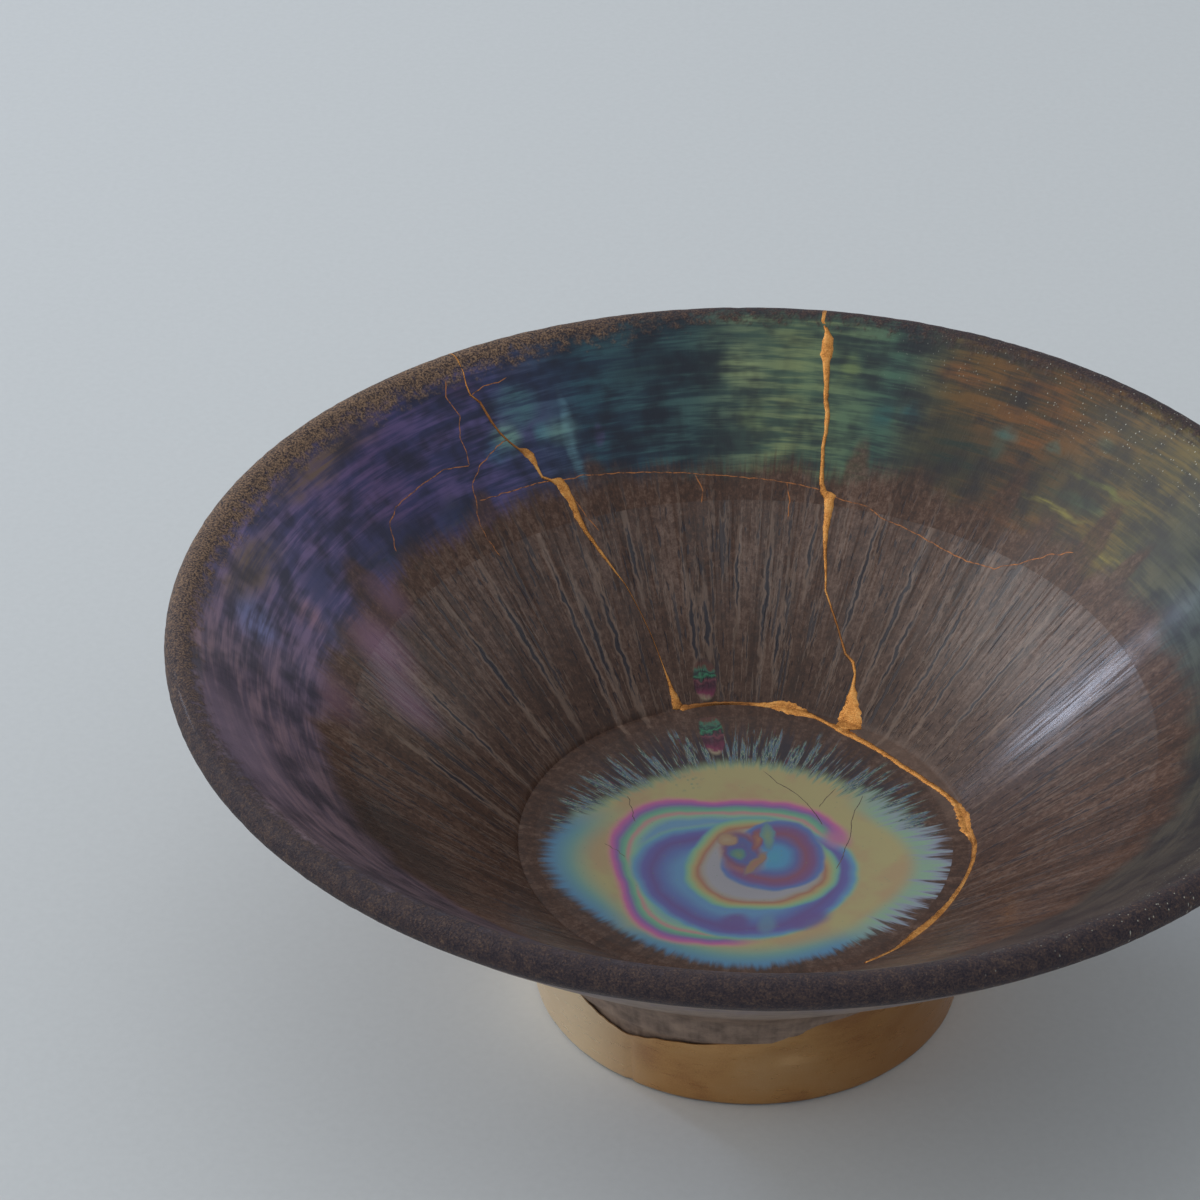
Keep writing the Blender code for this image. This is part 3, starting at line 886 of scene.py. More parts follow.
    def dress(self, piece, skin, recipes):
        """Band, wall, well and outside glaze and bare clay on the faces they cover."""
        pick(piece)
        dressed(piece, *recipes)
        band, wall, well, outside, clay = range(len(recipes))
        sizes = skin.sizes
        foot = sizes.foot_radius - sizes.foot_edge * 0.5
        for face in piece.data.polygons:
            centre = face.center
            radius = math.hypot(centre.x - skin.lean(centre.z), centre.y)
            middle = skin.inner_height(radius) - sizes.wall_thickness * 0.6
            if centre.z > middle or radius > skin.lip_centre[0]:
                inner = well if radius < self.DISH_END else wall
                face.material_index = inner if radius < self.BAND_START else band
            elif radius < foot and centre.z < sizes.recess_depth + MM:
                face.material_index = clay
            else:
                face.material_index = outside
        bpy.ops.object.shade_smooth_by_angle(angle=math.radians(self.SMOOTH))


class KINTSUGI_OT_seams(bpy.types.Operator):
    """Lays the gold lacquer over the breaks, inside and out"""

    bl_idname = "kintsugi.seams"
    bl_label = "Gold Seams"

    def execute(self, context):
        sizes = context.scene.kintsugi_sizes
        skin = Skin(sizes)
        proud = sizes.bead_height
        beads = [
            ribbon("left_seam", skin, wall_path(skin, LEFT_BREAK), proud),
            ribbon("right_seam", skin, wall_path(skin, RIGHT_BREAK), proud, columns=12),
            ribbon("ring_seam", skin, ring_path(skin, outside=False), proud),
            ribbon("outer_ring_seam", skin, ring_path(skin, outside=True), proud),
        ]
        seams = joined("gold_mend", beads)
        dressed(seams, seam_lacquer(context))
        finished(seams, "seam_gold", "gold_seam")
        return {"FINISHED"}


class KINTSUGI_OT_hairlines(bpy.types.Operator):
    """Draws the fine cracks, gold in the wall and dark in the pool"""

    bl_idname = "kintsugi.hairlines"
    bl_label = "Hairline Cracks"

    # Distance between the points of a hairline in millimetres, and its height in metres
    STEP = 0.3
    PROUD = 0.00003

    def execute(self, context):
        skin = Skin(context.scene.kintsugi_sizes)
        groups = (
            ("gold_hairlines", GOLD_HAIRLINES, GOLD_HAIRLINE_WIDTH, "seam_gold", hairline_gold),
            ("pool_cracks", DARK_HAIRLINES, DARK_HAIRLINE_WIDTH, "glaze", crack_shade),
        )
        for name, lines, width, slot, recipe in groups:
            threads = []
            for line in lines:
                stations = [(*spot, width / 2, width / 2) for spot in unwrapped(line)]
                filled = stations_between(stations, self.STEP)
                path = path_over(self.strayed(filled), skin.along_inside)
                threads.append(ribbon(name, skin, path, self.PROUD, columns=2, wobble=0.5))
            piece = joined(name, threads)
            dressed(piece, recipe(context))
            finished(piece, slot)
        return {"FINISHED"}

    def strayed(self, stations):
        """The same line with the small wander of a real crack."""
        moved = []
        for angle, radius, left, right in stations:
            stray = 0.22 * ripple(angle * 0.9, radius * 0.9, 1.0)
            moved.append((angle + math.degrees(stray / radius), radius + stray * 0.7, left, right))
        return moved


def unwrapped(line):
    """A line's points with angles that never jump by a whole turn."""
    points = [line[0]]
    for angle, radius in line[1:]:
        while angle - points[-1][0] > 180:
            angle -= 360
        while angle - points[-1][0] < -180:
            angle += 360
        points.append((angle, radius))
    return points


class KINTSUGI_OT_foot(bpy.types.Operator):
    """Coats the foot in gold lacquer up to a ragged edge"""

    bl_idname = "kintsugi.foot"
    bl_label = "Gold Foot"

    AROUND = 480
    UP = 40
    # Where the coat's two ends are welded, and how far above the table it starts
    WELD = 0.000005
    FOOT_GAP = 0.0002
    # How quickly the coat sinks into the clay at its upper edge
    EDGE_FALL = 7

    def execute(self, context):
        skin = Skin(context.scene.kintsugi_sizes)
        proud = skin.sizes.coat_height
        coat = grid("foot_lacquer", self.AROUND, self.UP)

        def place(across, along):
            turn = math.pi * across
            share = (along + 1) / 2
            top = coat_top(math.degrees(turn))
            height = self.FOOT_GAP + (top - self.FOOT_GAP) * share
            fade = min(1.0, (1 - share) * self.EDGE_FALL)
            lift = proud * (1.3 * fade - 0.3) + self.dent(turn, height) * fade
            return skin.leaned(turn, skin.side_radius_at(height) + lift, height)

        lay(coat, place)
        open_mesh(coat)
        bpy.ops.mesh.remove_doubles(threshold=self.WELD)
        bpy.ops.object.mode_set(mode="OBJECT")
        thicken(coat, 1.5 * proud)
        dressed(coat, foot_lacquer(context))
        finished(coat, "foot_gold", "gold_foot")
        return {"FINISHED"}

    def dent(self, turn, height):
        """The coat's lumps, one dent and one upright crease, in metres."""
        angle = math.degrees(turn)
        tall = height / MM
        lumps = 0.07 * ripple(math.cos(turn) * 5, math.sin(turn) * 5, tall * 0.25)
        lumps += 0.025 * ripple(math.cos(turn) * 18, math.sin(turn) * 18, tall * 0.9)
        hollow = 0.35 * math.exp(-((angle + 77) / 6) ** 2 - ((tall - 8.6) / 1.3) ** 2)
        crease = 0.28 * math.exp(-((angle + 121 - 0.15 * tall) / 1.0) ** 2)
        return (lumps - hollow - crease) * MM


class Amount:
    """One number that varies over a surface, so that a recipe can be written as a sum."""

    def __init__(self, recipe, socket):
        self.recipe = recipe
        self.socket = socket

    def __add__(self, other):
        return self.recipe.maths("ADD", self, other)

    def __sub__(self, other):
        return self.recipe.maths("SUBTRACT", self, other)

    def __mul__(self, other):
        return self.recipe.maths("MULTIPLY", self, other)

    def __truediv__(self, other):
        return self.recipe.maths("DIVIDE", self, other)

    def __rsub__(self, other):
        return self.recipe.maths("SUBTRACT", other, self)

    __radd__ = __add__
    __rmul__ = __mul__

    def rising(self, low, high):
        """0 below low, 1 above high and smooth between; low above high falls instead."""
        node = self.recipe.node("ShaderNodeMapRange", interpolation_type="SMOOTHSTEP")
        flip = low > high
        self.recipe.feed(node.inputs["Value"], self)
        node.inputs["From Min"].default_value = min(low, high)
        node.inputs["From Max"].default_value = max(low, high)
        node.inputs["To Min"].default_value = 1.0 if flip else 0.0
        node.inputs["To Max"].default_value = 0.0 if flip else 1.0
        return Amount(self.recipe, node.outputs["Result"])


class Recipe:
    """The nodes of one finish, added and wired by short calls. Lengths are millimetres."""

    # A mix node's sockets for the amount and for its two colours, and its colour result
    MIX_SOCKETS = (0, 6, 7)
    MIX_RESULT = 2

    def __init__(self, name, metallic=0.0, coat=0.0, coat_roughness=0.1, gloss=0.5):
        self.material = bpy.data.materials.new(name)
        self.material.use_nodes = True
        self.tree = self.material.node_tree
        self.shader = self.tree.nodes["Principled BSDF"]
        self.shader.inputs["Metallic"].default_value = metallic
        self.shader.inputs["Specular IOR Level"].default_value = gloss
        self.shader.inputs["Coat Weight"].default_value = coat
        self.shader.inputs["Coat Roughness"].default_value = coat_roughness

    def node(self, kind, **settings):
        """A new node with its settings."""
        node = self.tree.nodes.new(kind)
        for key, value in settings.items():
            setattr(node, key, value)
        return node

    def feed(self, socket, value):
        """Wires an amount or a socket in, or sets a plain number or colour."""
        if isinstance(value, Amount):
            value = value.socket
        if isinstance(value, bpy.types.NodeSocket):
            self.tree.links.new(value, socket)
        elif socket.type == "RGBA":
            socket.default_value = (*value, 1.0)
        else:
            socket.default_value = value

    def maths(self, operation, *values):
        """One sum on amounts and numbers."""
        node = self.node("ShaderNodeMath", operation=operation)
        for socket, value in zip(node.inputs, values):
            self.feed(socket, value)
        return Amount(self, node.outputs[0])

    def vector(self, x, y, z):
        """Three amounts as one vector."""
        node = self.node("ShaderNodeCombineXYZ")
        for socket, value in zip(node.inputs, (x, y, z)):
            self.feed(socket, value)
        return node.outputs[0]

    def surface(self, sizes):
        """Reads where a point is: across and back from the leaning axis, radius and turn."""
        where = self.node("ShaderNodeTexCoord").outputs["Object"]
        scaled = self.node("ShaderNodeVectorMath", operation="SCALE")
        self.feed(scaled.inputs[0], where)
        scaled.inputs["Scale"].default_value = 1 / MM
        self.place = scaled.outputs[0]
        parts = self.node("ShaderNodeSeparateXYZ")
        self.feed(parts.inputs[0], self.place)
        x, y, self.height = (Amount(self, socket) for socket in parts.outputs)
        rise = (sizes.bowl_height - sizes.well_height) / MM
        share = self.maths("MINIMUM", (sizes.bowl_height / MM - self.height) / rise, 1.0)
        self.x = x - share * (sizes.well_lean / MM)
        self.y = y
        self.radius = self.maths("SQRT", self.x * self.x + self.y * self.y)
        self.east = self.x / self.radius
        self.north = self.y / self.radius
        self.turn = self.maths("ARCTAN2", self.y, self.x) * (180 / math.pi)
        self.plan = self.vector(self.x, self.y, 1.0)

    def around(self, across, along, seed=0.0):
        """A vector that runs across times round the bowl and along times a millimetre of radius."""
        climb = self.radius * along + seed
        return self.vector(self.east * across, self.north * across, climb)

    def noise(self, where, scale=1.0, detail=2.0, roughness=0.5, colour=False):
        """Noise at a vector, as an amount round a half, or as a colour."""
        node = self.node("ShaderNodeTexNoise")
        self.feed(node.inputs["Vector"], where)
        node.inputs["Scale"].default_value = scale
        node.inputs["Detail"].default_value = detail
        node.inputs["Roughness"].default_value = roughness
        return node.outputs["Color"] if colour else Amount(self, node.outputs["Fac"])

    def spots(self, where, scale=1.0):
        """Distance to the nearest of many scattered points."""
        node = self.node("ShaderNodeTexVoronoi")
        self.feed(node.inputs["Vector"], where)
        node.inputs["Scale"].default_value = scale
        return Amount(self, node.outputs["Distance"])

    def shifted(self, where, amount, scale, seed=0.0):
        """A vector pushed about by noise, by up to half an amount."""
        start = self.node("ShaderNodeVectorMath", operation="ADD")
        self.feed(start.inputs[0], where)
        start.inputs[1].default_value = (seed, seed, seed)
        stir = self.noise(start.outputs[0], scale, 2.0, 0.5, colour=True)
        push = self.node("ShaderNodeVectorMath", operation="MULTIPLY_ADD")
        self.feed(push.inputs[0], stir)
        push.inputs[1].default_value = (amount, amount, 0.0)
        push.inputs[2].default_value = (-amount / 2, -amount / 2, 0.0)
        total = self.node("ShaderNodeVectorMath", operation="ADD")
        self.feed(total.inputs[0], where)
        self.feed(total.inputs[1], push.outputs[0])
        return total.outputs[0]

    def disc(self, where, centre, radii, turned=0.0, lobes=()):
        """0 in the middle of an oval on the plan and 1 at its edge, which may have lobes.

        The plan's third number is 1, so that one product can also take the centre away.
        Each lobe is how many go round, how far they reach as a share, and the angle of one.
        """
        turn = math.radians(turned)
        sides = []
        for size, east, north in (
            (radii[0], math.cos(turn), math.sin(turn)),
            (radii[1], -math.sin(turn), math.cos(turn)),
        ):
            node = self.node("ShaderNodeVectorMath", operation="DOT_PRODUCT")
            self.feed(node.inputs[0], where)
            middle = centre[0] * east + centre[1] * north
            node.inputs[1].default_value = (east / size, north / size, -middle / size)
            sides.append(Amount(self, node.outputs["Value"]))
        across, along = sides
        spread = self.maths("SQRT", self.maths("MULTIPLY_ADD", across, across, along * along))
        if not lobes:
            return spread
        turn = self.maths("ARCTAN2", along, across)
        for count, reach, peak in lobes:
            wave = self.maths("COSINE", (turn - math.radians(peak - turned)) * float(count))
            spread = spread / (wave * reach + 1.0)
        return spread

    def dab(self, where, angle, radius, along, across, soft=0.6):
        """A soft dab of glaze at an angle and radius: 1 in its middle, 0 outside."""
        oval = self.disc(where, spot_at(angle, radius), (along, across), angle)
        return oval.rising(1.0, 1.0 - soft)

    def blend(self, amount, below, above):
        """One colour over another, as far as an amount says."""
        node = self.node("ShaderNodeMix", data_type="RGBA", clamp_factor=True)
        for socket, value in zip(self.MIX_SOCKETS, (amount, below, above)):
            self.feed(node.inputs[socket], value)
        return node.outputs[self.MIX_RESULT]

    def ramp(self, amount, *stops):
        """A colour for each value of an amount, from (value, colour) stops."""
        node = self.node("ShaderNodeValToRGB")
        self.feed(node.inputs[0], amount)
        elements = node.color_ramp.elements
        while len(elements) < len(stops):
            elements.new(1.0)
        for element, (position, tone) in zip(elements, stops):
            element.position = position
            element.color = (*tone, 1.0)
        return node.outputs[0]

    def relief(self, height):
        """Turns an amount in millimetres into a bumped normal."""
        node = self.node("ShaderNodeBump")
        node.inputs["Strength"].default_value = 1.0
        node.inputs["Distance"].default_value = MM
        self.feed(node.inputs["Height"], height)
        return node.outputs[0]

    def done(self, base, roughness, normal):
        """Wires the finish up and returns its material."""
        self.feed(self.shader.inputs["Base Color"], base)
        self.feed(self.shader.inputs["Roughness"], roughness)
        self.feed(self.shader.inputs["Normal"], normal)
        return self.material


def begin(context, name, **settings):
    """A new finish that knows its place on the bowl, with the bowl's colours."""
    recipe = Recipe(name, **settings)
    recipe.surface(context.scene.kintsugi_sizes)
    return recipe, context.scene.kintsugi_finish


def wall_ground(recipe, finish):
    """The brown wall glaze with its fibres, and the height of its relief."""
    fibres = recipe.noise(recipe.around(125, 0.12), detail=2.0, roughness=0.6)
    broad = recipe.noise(recipe.around(15, 0.05, seed=3.0), detail=1.0)
    mottle = recipe.noise(recipe.plan, 1.5, detail=3.0, roughness=0.75)
    tone = fibres * 0.14 + broad * 0.3 + mottle * 0.56
    ground = recipe.ramp(
        tone, (0.39, finish.ground_dark), (0.51, finish.ground),
        (0.66, finish.ground_pale),
    )
    deep = recipe.radius.rising(47.0, 30.0) * 0.3
    ground = recipe.blend(deep, ground, paint(58, 40, 32))
    return ground, fibres * 0.035 + mottle * 0.04, fibres


# The long dark drips: angle, radius of the middle, half length and half width
DRIPS = (
    (147.0, 41.5, 5.0, 0.31), (137.2, 42.0, 6.0, 0.30), (125.8, 40.5, 7.5, 0.26),
    (122.9, 39.0, 4.2, 0.34), (118.8, 38.0, 5.5, 0.31), (111.3, 47.0, 3.0, 0.26),
    (102.2, 38.0, 3.6, 0.31), (99.4, 38.5, 2.6, 0.31), (93.0, 43.5, 3.2, 0.21),
    (87.6, 41.5, 5.5, 0.26), (84.2, 36.5, 2.6, 0.25), (80.6, 47.0, 3.0, 0.25),
    (70.8, 44.5, 6.5, 0.22), (62.4, 42.5, 7.0, 0.29), (58.6, 38.5, 4.6, 0.21),
    (50.4, 40.5, 7.5, 0.22), (44.2, 38.0, 4.4, 0.21), (36.0, 40.0, 5.0, 0.22),
    (27.0, 43.0, 4.5, 0.25), (163.0, 40.0, 5.0, 0.27), (178.0, 38.0, 4.5, 0.34),
)


def wall_drips(recipe, finish, ground, height):
    """Blue-black dashes and threads down the wall, each with a pale ridge beside it."""
    shown = recipe.radius.rising(28.5, 31.0) * recipe.radius.rising(58.0, 50.0)
    torn = recipe.noise(recipe.around(170, 1.1, seed=9.0), detail=1.0) * 0.26 - 0.13
    thread = recipe.noise(recipe.around(52, 0.09, seed=21.0), detail=1.0) + torn
    fleck = recipe.noise(recipe.around(84, 0.42, seed=31.0), detail=1.0) + torn
    ridge = thread.rising(0.55, 0.60) * shown
    small = recipe.maths("MAXIMUM", thread.rising(0.62, 0.69), fleck.rising(0.65, 0.72)) * shown
    ground = recipe.blend(ridge * 0.34, ground, paint(134, 112, 98))
    ground = recipe.blend(small * 0.8, ground, finish.drip)
    return ground, height + ridge * 0.04 - small * 0.06, torn


def long_drips(recipe, ground, torn):
    """The longest drips, each in its own place."""
    plan = recipe.shifted(recipe.plan, 1.3, 0.5, seed=5.0)
    long = None
    for angle, radius, half, wide in DRIPS:
        spot = recipe.disc(plan, spot_at(angle, radius), (half, wide), angle)
        long = spot if long is None else recipe.maths("MINIMUM", long, spot)
    long = long + torn * 5.0
    ground = recipe.blend(long.rising(2.5, 1.5) * 0.42, ground, paint(140, 118, 104))
    return recipe.blend(long.rising(1.3, 0.7) * 0.92, ground, paint(26, 25, 38))


# Soft lilac lustre low on the left wall: angle, radius, half size along and across, strength
LILAC = (
    (163.5, 51.5, 7.0, 6.0, 0.8), (169.0, 46.0, 6.5, 5.0, 0.6), (155.0, 54.0, 5.0, 4.0, 0.5),
    (180.0, 56.0, 8.0, 7.0, 0.5),
)


def lilac_sheen(recipe, ground):
    """Lilac clouds that lie over the brown ground."""
    for angle, radius, along, across, strength in LILAC:
        cloud = recipe.dab(recipe.plan, angle, radius, along, across, soft=0.95)
        ground = recipe.blend(cloud * strength, ground, paint(134, 100, 122))
    return ground


# The band's hues round the bowl, at shares of a turn from the front by way of the right,
# and the brighter hues of the streaks that are brushed over them
BAND_MAIN = (
    (0.00, (74, 62, 64)), (0.25, (62, 66, 58)), (0.30, (48, 62, 62)), (0.345, (80, 78, 46)),
    (0.40, (82, 64, 38)), (0.435, (70, 64, 46)), (0.455, (44, 66, 66)), (0.49, (72, 98, 80)),
    (0.525, (36, 58, 66)), (0.565, (34, 52, 74)), (0.60, (52, 58, 98)), (0.65, (54, 52, 96)),
    (0.71, (72, 70, 112)), (0.77, (96, 80, 98)), (1.00, (74, 62, 64)),
)
BAND_STREAK = (
    (0.00, (86, 70, 70)), (0.25, (86, 84, 70)), (0.30, (80, 96, 92)), (0.345, (128, 110, 48)),
    (0.40, (134, 82, 36)), (0.435, (110, 82, 44)), (0.455, (66, 104, 88)), (0.49, (126, 140, 96)),
    (0.525, (62, 92, 90)), (0.565, (46, 82, 96)), (0.60, (88, 80, 128)), (0.65, (92, 72, 116)),
    (0.71, (116, 98, 140)), (0.77, (132, 106, 116)), (1.00, (86, 70, 70)),
)
# Arches of brown ground that reach up into the band: angle, top radius, half width
ARCHES = (
    (157.0, 61.5, 3.4), (145.0, 58.0, 2.2), (132.0, 59.5, 2.8), (114.0, 59.5, 2.6),
    (76.0, 60.5, 2.6), (67.5, 58.5, 2.6), (54.0, 61.5, 2.4), (46.0, 59.0, 2.6),
    (38.5, 63.5, 2.6), (31.0, 61.5, 1.8), (21.0, 58.0, 2.2),
)
# Special patches of the band: angle, radius, half size along and across, colour, strength
PATCHES = (
    (122.0, 65.5, 3.2, 4.6, (72, 116, 122), 0.75), (116.0, 60.0, 6.5, 1.3, (108, 152, 168), 0.85),
    (126.0, 61.5, 2.6, 3.2, (70, 112, 140), 0.7), (119.5, 61.5, 2.2, 2.0, (84, 136, 146), 0.6),
    (127.5, 68.3, 1.8, 3.2, (88, 70, 112), 0.7), (112.0, 60.2, 1.5, 1.6, (92, 84, 128), 0.55),
    (92.5, 66.2, 3.4, 4.6, (138, 154, 110), 0.85), (91.0, 60.6, 2.8, 2.6, (112, 132, 92), 0.7),
    (79.5, 66.5, 2.6, 2.2, (116, 134, 84), 0.65), (79.0, 60.5, 3.0, 2.2, (88, 118, 92), 0.6),
    (84.8, 64.0, 5.0, 1.8, (110, 132, 96), 0.6), (74.5, 62.0, 2.4, 2.0, (40, 92, 94), 0.6),
    (66.0, 68.0, 1.6, 6.0, (150, 92, 48), 0.6), (58.5, 62.0, 2.2, 1.8, (70, 118, 104), 0.55),
    (44.0, 60.0, 1.0, 6.5, (74, 128, 96), 0.6), (36.0, 57.0, 1.0, 7.0, (166, 150, 62), 0.6),
    (177.0, 64.5, 4.0, 6.0, (110, 122, 172), 0.7), (169.0, 59.5, 3.0, 3.4, (150, 110, 120), 0.55),
    (163.5, 52.5, 3.4, 3.6, (138, 100, 126), 0.55), (166.0, 47.0, 2.6, 3.0, (116, 90, 116), 0.4),
    (172.0, 68.0, 2.0, 9.0, (128, 104, 84), 0.6), (186.0, 58.0, 5.0, 6.0, (112, 94, 118), 0.5),
    (63.0, 60.0, 5.5, 11.0, (40, 54, 48), 0.95), (48.0, 60.5, 5.5, 9.0, (46, 60, 46), 0.85),
    (150.0, 68.6, 2.6, 17.0, (108, 86, 62), 0.8), (169.0, 66.5, 3.2, 11.0, (104, 86, 66), 0.75),
    (149.0, 57.5, 3.4, 9.0, (34, 44, 62), 0.85), (163.0, 60.0, 4.0, 5.0, (44, 54, 92), 0.7),
    (166.0, 54.5, 2.6, 4.0, (128, 92, 74), 0.55), (137.0, 57.0, 2.4, 6.0, (32, 54, 64), 0.8),
    (124.5, 62.4, 2.4, 2.8, (114, 152, 144), 0.95), (117.0, 61.0, 2.4, 3.4, (106, 144, 140), 0.85),
    (58.0, 63.5, 1.0, 2.8, (62, 118, 112), 0.6), (51.5, 63.5, 0.9, 1.8, (62, 112, 102), 0.5),
    (45.5, 66.5, 1.2, 2.6, (58, 118, 104), 0.6), (47.0, 58.4, 0.6, 8.0, (160, 150, 66), 0.8),
    (42.0, 62.4, 0.6, 8.0, (132, 140, 66), 0.7), (71.0, 63.0, 2.0, 2.6, (40, 92, 98), 0.7),
    (104.0, 67.0, 3.0, 9.0, (30, 44, 54), 0.6), (28.0, 62.0, 6.0, 8.0, (64, 74, 58), 0.7),
    (150.0, 55.0, 6.0, 1.6, (60, 64, 104), 0.5), (139.0, 59.0, 4.0, 3.0, (60, 62, 112), 0.5),
)


def lustre_band(recipe, ground, fibres):
    """The iridescent band under the lip: brushed streaks, arches of ground and patches."""
    plan = recipe.shifted(recipe.plan, 3.2, 0.22, seed=11.0)
    edge = recipe.noise(recipe.around(9, 0.0, seed=41.0), detail=2.0) * 5.0 + 53.0
    climb = recipe.radius + fibres * 3.0 - 1.5
    band = (climb - edge).rising(-1.6, 1.8)
    whole = (recipe.turn + 90) / 360
    share = recipe.maths("FRACT", whole + 1.0)
    main, streak = (
        recipe.ramp(share, *((spot, paint(*tone)) for spot, tone in hues))
        for hues in (BAND_MAIN, BAND_STREAK)
    )
    brushed = recipe.noise(recipe.around(5.0, 1.3, seed=51.0), detail=3.0, roughness=0.7)
    pillar = recipe.noise(recipe.around(16.0, 0.3, seed=61.0), detail=2.0, roughness=0.62)
    cloud = recipe.noise(recipe.around(7.0, 0.28, seed=71.0), detail=2.0)
    colour_now = recipe.blend((brushed + cloud * 0.5 - 0.25).rising(0.40, 0.68), main, streak)
    for angle, radius, along, across, tone, strength in PATCHES:
        spot = recipe.dab(plan, angle, radius, along, across, soft=0.8)
        streaked = spot * strength * (brushed.rising(0.36, 0.62) * 0.75 + 0.3)
        colour_now = recipe.blend(streaked, colour_now, paint(*tone))
    shade = (pillar * 0.45 + cloud * 0.35 + brushed * 0.2).rising(0.58, 0.37) * 0.72
    colour_now = recipe.blend(shade, colour_now, paint(26, 26, 40))
    # Painted shade: the band is painted darker towards the right
    colour_now = recipe.blend(recipe.east.rising(0.1, 0.8) * 0.32, colour_now, paint(34, 28, 22))
    for angle, top, half in ARCHES:
        arch = recipe.dab(plan, angle, top - 8.0, 8.0, half, soft=0.35)
        band = recipe.maths("MINIMUM", band, 1.0 - arch * 0.8)
    return recipe.blend(band, ground, colour_now), band


def lip_band(recipe, ground):
    """The gritty lip: painted light, lighter and browner on the left toward the light, painted shade
    to the right, and painted glints.
    """
    grains = recipe.noise(recipe.place, 3.6, detail=2.0, roughness=0.75)
    coarse = recipe.noise(recipe.place, 0.75, detail=2.0, roughness=0.7)
    # Painted light: the side of the lip toward the light on the left is painted lighter, the rest
    # painted darker
    painted_lit_side = recipe.east.rising(0.0, -0.65) * recipe.north.rising(-0.5, 0.3)
    tone = recipe.ramp(
        grains * 0.65 + coarse * 0.35, (0.36, paint(34, 28, 34)), (0.48, paint(74, 60, 58)),
        (0.58, paint(112, 88, 72)), (0.72, paint(160, 130, 104)),
    )
    tone = recipe.blend((1.0 - painted_lit_side) * 0.6, tone, paint(40, 34, 46))
    tone = recipe.blend(painted_lit_side * grains.rising(0.42, 0.62) * 0.62, tone, paint(162, 132, 104))
    edge = 74.6 - painted_lit_side * 1.6 - coarse * 5.5
    lip = (recipe.radius - edge).rising(-1.4, 1.3)
    ground = recipe.blend(lip, ground, tone)
    # Painted glints: near-white specks on the right of the lip
    glint = recipe.spots(recipe.around(120, 1.6, seed=87.0)).rising(0.16, 0.08)
    east_side = recipe.east.rising(0.1, 0.75) * recipe.radius.rising(63.0, 69.0)
    ground = recipe.blend(glint * east_side * 0.75, ground, paint(206, 206, 190))
    return ground, lip, grains


def rainbow_strip(recipe, ground, angle, radius, half):
    """A small upright patch where the lustre breaks into bright bands."""
    bits = recipe.noise(recipe.around(26, 0.9, seed=97.0), detail=2.0, roughness=0.6)
    climb = (recipe.radius - (radius - half)) / (half * 2) + bits * 0.4 - 0.2
    rainbow = recipe.ramp(
        climb, (0.0, paint(150, 136, 112)), (0.12, paint(116, 44, 74)), (0.34, paint(58, 26, 44)),
        (0.44, paint(112, 60, 72)), (0.50, paint(36, 34, 42)), (0.57, paint(52, 124, 92)),
        (0.63, paint(30, 44, 50)), (0.70, paint(60, 110, 90)), (0.78, paint(94, 58, 50)),
        (1.0, paint(62, 48, 46)),
    )
    strip = recipe.dab(recipe.plan, angle, radius, half * 1.15, 1.75, soft=0.18)
    return recipe.blend(strip * 0.9, ground, rainbow)


def pool_flames(recipe, ground):
    """Streaks of lustre that lick outwards from the pool."""
    flame = recipe.noise(recipe.around(30, 0.11, seed=91.0), detail=3.0, roughness=0.6)
    hue = recipe.noise(recipe.around(64, 0.34, seed=93.0), detail=3.0, roughness=0.7)
    tone = recipe.ramp(
        hue, (0.32, paint(96, 40, 60)), (0.39, paint(44, 48, 84)), (0.44, paint(44, 92, 84)),
        (0.49, paint(150, 158, 138)), (0.535, paint(56, 72, 110)), (0.58, paint(92, 134, 142)),
        (0.64, paint(104, 84, 104)), (0.70, paint(64, 104, 84)),
    )
    reach = recipe.radius.rising(27.4, 20.5) * recipe.radius.rising(14.0, 16.0)
    back = recipe.north.rising(-0.3, 0.3)
    lick = (flame + reach * 0.14).rising(0.59, 0.67) * reach.rising(0.0, 0.3)
    lick = lick * (back * 0.7 + 0.15)
    dark = flame.rising(0.49, 0.41) * recipe.radius.rising(27.6, 22.0)
    ground = recipe.blend(dark * 0.8, ground, paint(40, 38, 50))
    ground = recipe.blend(lick, ground, tone)
    return ground, flame


